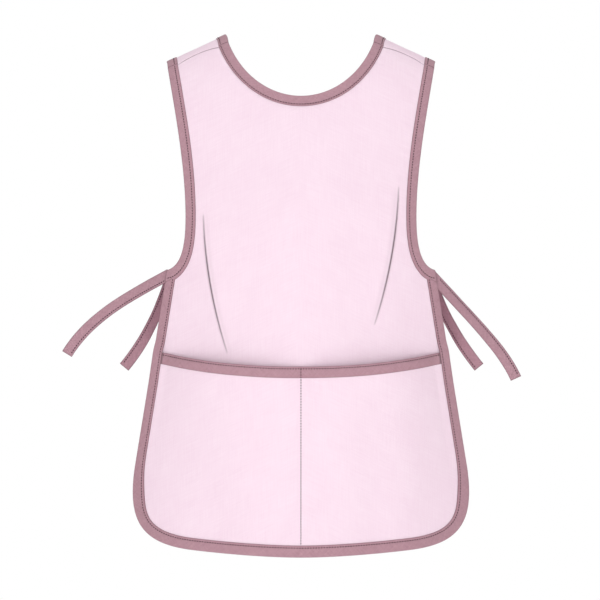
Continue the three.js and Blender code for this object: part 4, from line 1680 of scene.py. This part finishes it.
@dataclass
class Tie:
    """A flat stitched strap sewn behind a side edge. Its path turns from one angle to another."""

    sheet: PanelSheet
    outline: Outline
    hand: Hand
    root_z: float
    reach: float
    angles: Pair
    ease: float
    sway: float
    tuck: float = 9.0
    width: float = 16.0
    wall: float = 2.0
    slack: float = 0.15
    follows: float = 12.0
    seat: float = 2.75
    turns_from: float = 0.21
    lead: int = 5
    strides: int = 72
    edge_radius: float = 0.95
    edge_limit: float = 0.99
    edge_places: Triple = (0.7, 0.35, 0.1)
    even_places: int = 10
    stitch_from_edge: float = 3.4
    sewn_from: int = 4
    groove: float = 0.3
    groove_width: float = 0.8
    pucker: float = 0.1
    pucker_spacing: float = 8.5
    cup: float = 0.5
    cup_run: Pair = (15.0, 60.0)
    wave: float = 0.5
    wave_run: Pair = (20.0, 60.0)
    wave_spacing: float = 61.0
    # Painted shade at the strap's edges and free end, and faintly along the stitch line
    edge_dark: float = 0.6
    edge_width: float = 0.7
    line_dark: float = 0.05

    def frames(self) -> tuple[Array, Array, Array, Array]:
        """Stations of the strap: points, directions across and up, and lengths from its sewn end.

        The path adds up short strides whose angle eases from the first to the last. Its depth follows the
        panel, and past a limit it levels out at the sway.

        Returns:
            Points, across, up and run.
        """
        face, hand = self.outline.face.value, self.hand.value
        lower = self.outline.lower
        root = np.array([hand * np.interp(-self.root_z, -self.sheet.height(lower), lower[:, 0]), self.root_z])
        share = (np.arange(self.strides) + 0.5) / self.strides
        angle = np.radians(self.angles[0] + (self.angles[1] - self.angles[0]) * share**self.ease)
        strides = np.stack([hand * np.cos(angle), -np.sin(angle)], -1) * self.reach / self.strides
        tucked = root - unit(strides[0]) * np.linspace(self.tuck, 0.0, self.lead)[:, None]
        seen = np.concatenate([tucked, root + np.cumsum(strides, axis=0)])
        spots = self.sheet.spots(seen, self.outline.face)
        normal = self.sheet.normal(spots)
        depth = self.sheet.point(spots)[:, 1] - self.seat / normal[:, 1]
        start = depth[self.lead - 1]
        gain, rest = face * (depth - start), self.sway - self.follows
        past = self.follows + rest * (1 - np.exp(np.minimum(self.follows - gain, 0.0) / rest))
        y = start + face * np.where(gain < self.follows, gain, past)
        points = np.stack([seen[:, 0], y, seen[:, 1]], -1)
        turn = smooth(np.concatenate([np.zeros(self.lead), share]), self.turns_from, 1.0)[:, None]
        normal = normal * (1 - turn) + np.array([0.0, -face, 0.0]) * turn
        run, way = run_length(points), unit(np.gradient(points, axis=0))
        across = unit(np.cross(way, normal))
        up = np.cross(across, way)
        wave = self.wave * smooth(run, *self.wave_run) * ripple(run, self.wave_spacing, self.root_z)
        return points + up * wave[:, None], across, up, run

    def swell(self, place: Array, run: Array, line: float) -> Array:
        """Half thickness of the strap: rounded off at its edges and free end, sunk along the stitch line.

        Args:
            place: Places across the strap.
            run: Lengths along it.
            line: Place of the stitch line.

        Returns:
            Half thickness by length and place.
        """
        past = (np.abs(place) - self.width / 2, run[:, None] - run[-1])
        edge, end = (np.clip(far / self.edge_radius + 1, 0.0, self.edge_limit) for far in past)
        groove = self.groove * bell(place - line, self.groove_width)
        pucker = self.pucker * ripple(run[:, None], self.pucker_spacing, self.reach)
        return (self.wall / 2 - self.slack + pucker - groove) * np.sqrt((1 - edge**2) * (1 - end**2))

    def build(self, looks: Looks) -> None:
        """Builds the strap and its stitches.

        Args:
            looks: Material of each slot.
        """
        points, across, up, run = self.frames()
        rim = self.edge_radius * np.array(self.edge_places)
        lengths = np.sort(np.concatenate([run, run[-1] - rim]))
        points, across, up = (along(rows, lengths, run) for rows in (points, across, up))
        half = self.width / 2
        inner = half - self.edge_radius
        line = self.stitch_from_edge - half
        beside = line + np.array([-1.0, 0.0, 1.0]) * self.groove_width
        even = np.linspace(-inner, inner, self.even_places)
        place = np.unique(np.concatenate([even, half - rim, rim - half, [half, -half], beside]))
        middle = points[:, None] + across[:, None] * place[:, None]
        cup = self.cup * (1 - (place / half) ** 2) * smooth(lengths, *self.cup_run)[:, None]
        thick = self.swell(place, lengths, line)
        faces = [middle + up[:, None] * (cup + side)[..., None] for side in (thick, -thick)]
        # Painted shade: dark at the edges and the free end, faint on the stitch line
        dark = self.edge_dark * bell(half - np.abs(place), self.edge_width)
        dark = dark + self.line_dark * bell(place - line, self.groove_width)
        end = self.edge_dark * bell(lengths[-1] - lengths, self.edge_width)
        shade = np.maximum(dark, end[:, None]).ravel()
        quads = plain_grid(len(lengths), len(place))
        mesh = WallMesh.between(faces, quads, grid_uv(lengths, place - line), shade)
        column, sewn = int(np.argmin(np.abs(place - line))), slice(self.sewn_from, -self.sewn_from)
        seams = [Seam(face[sewn, column], up[sewn] * side) for face, side in zip(faces, (1, -1))]
        node = f"tie_{self.outline.face.name.lower()}_{self.hand.name.lower()}"
        size = (self.width, lengths[-1], self.width * lengths[-1])
        hang_cloth(node, mesh, Slot.TIE, looks, size, self.outline.face.panel, seams)


@dataclass(frozen=True)
class Studio:
    """Pale floor, soft lights and a level camera that looks straight at the front, in metres and watts."""

    view_width: float = 0.8496
    view_x: float = -0.0014
    view_z: float = -0.3751
    camera_distance: float = 3.0
    floor_z: float = -0.9
    floor_half: float = 6.0
    floor_colour: Triple = (0.86, 0.85, 0.85)
    floor_roughness: float = 0.9
    floor_glow: float = 0.35
    backdrop: Triple = (1.0, 1.0, 1.0)
    ambient: float = 0.40
    # Name, place, length of side and power of each soft light
    lights: tuple[tuple[str, Triple, float, float], ...] = (
        ("front_soft", (-0.1, -2.6, -0.28), 1.2, 25.5),
        ("back_soft", (0.3, 2.6, -0.28), 1.2, 26.5),
        ("top_soft", (0.0, -0.4, 3.2), 3.0, 80.0),
    )

    def camera(self) -> None:
        """Puts the camera in front of the apron, with parallel rays as in a pattern drawing."""
        data = bpy.data.cameras.new("camera")
        data.type = "ORTHO"
        data.ortho_scale = self.view_width
        camera = placed("camera", data)
        camera.location = (self.view_x, -self.camera_distance, self.view_z)
        camera.rotation_euler = (np.pi / 2, 0.0, 0.0)
        bpy.context.scene.camera = camera

    def light(self, name: str, place: Triple, size: float, watts: float) -> None:
        """Adds a square soft light that faces the middle of the apron.

        Args:
            name: Name of the light.
            place: Its place.
            size: Length of its side.
            watts: Its power.
        """
        data = bpy.data.lights.new(name, "AREA")
        data.size, data.energy = size, watts
        lamp = placed(name, data)
        lamp.location = place
        way = unit(np.array([0.0, 0.0, self.view_z]) - np.array(place))
        lamp.rotation_euler = (np.arccos(-way[2]), 0.0, np.arctan2(-way[0], way[1]))
        lamp.visible_camera = False

    def floor(self) -> None:
        """Lays the floor as one square a little below the hem."""
        corners = np.array([[-1.0, -1.0], [1.0, -1.0], [1.0, 1.0], [-1.0, 1.0]]) * self.floor_half / MM
        points = np.column_stack([corners, np.full(4, self.floor_z / MM)])
        material = Shader(bpy.data.materials.new("floor")).surface(
            Base_Color=self.floor_colour, Roughness=self.floor_roughness,
            Emission_Color=self.backdrop, Emission_Strength=self.floor_glow,
        )
        WallMesh(points, np.array([[0, 1, 2, 3]]), corners, 1).put("floor", material)

    def world(self) -> None:
        """Lights the scene evenly from all round, and shows plain white behind the apron."""
        world = bpy.data.worlds.new("studio")
        shader = Shader(world)
        glow = shader.node("Background", Strength=self.ambient).outputs[0]
        seen = shader.node("Background", Color=self.backdrop).outputs[0]
        direct = shader.node("LightPath").outputs["Is Camera Ray"]
        both = shader.node("MixShader", _0=direct, _1=glow, _2=seen).outputs[0]
        shader.node("OutputWorld", Surface=both)
        bpy.context.scene.world = world
        bpy.context.scene.view_settings.view_transform = "Standard"

    def build(self) -> None:
        """Sets up the whole stage."""
        self.camera()
        self.floor()
        self.world()
        for light in self.lights:
            self.light(*light)


def main() -> None:
    """Builds the stage, the panels, the pocket, the tapes and the ties in order."""
    logging.basicConfig(level=logging.INFO, format="%(name)s %(message)s")
    Studio().build()
    looks = {
        Slot.PANEL: WovenCloth().material(), Slot.TAPE: BIAS_TAPE.material(),
        Slot.TIE: replace(BIAS_TAPE, name="tie_cloth").material(), Slot.THREAD: SpunThread().material(),
    }
    panel = PanelSheet()
    for face in Face:
        PanelPiece(panel, Outline(panel, face, panel.cut.cloth_seam)).build(looks)
    front, back = (Outline(panel, face, panel.cut.tape_seam) for face in Face)
    pocket = PocketSheet(panel)
    PocketAssembly(pocket, front).build(looks)
    for outline in (front, back):
        EdgeTapes(panel, pocket, outline).build(looks)
    for tie in (
        Tie(panel, front, Hand.LEFT, -341.2, 181.0, (28.5, 59.0), 2.15, 46.0, tuck=5.0),
        Tie(panel, front, Hand.RIGHT, -347.4, 179.5, (47.0, 66.0), 3.8, 46.0),
        Tie(panel, back, Hand.LEFT, -358.0, 128.0, (70.0, 50.0), 1.4, 34.0),
        Tie(panel, back, Hand.RIGHT, -364.0, 123.0, (69.3, 50.8), 1.0, 34.0),
    ):
        tie.build(looks)


if __name__ == "__main__":
    main()
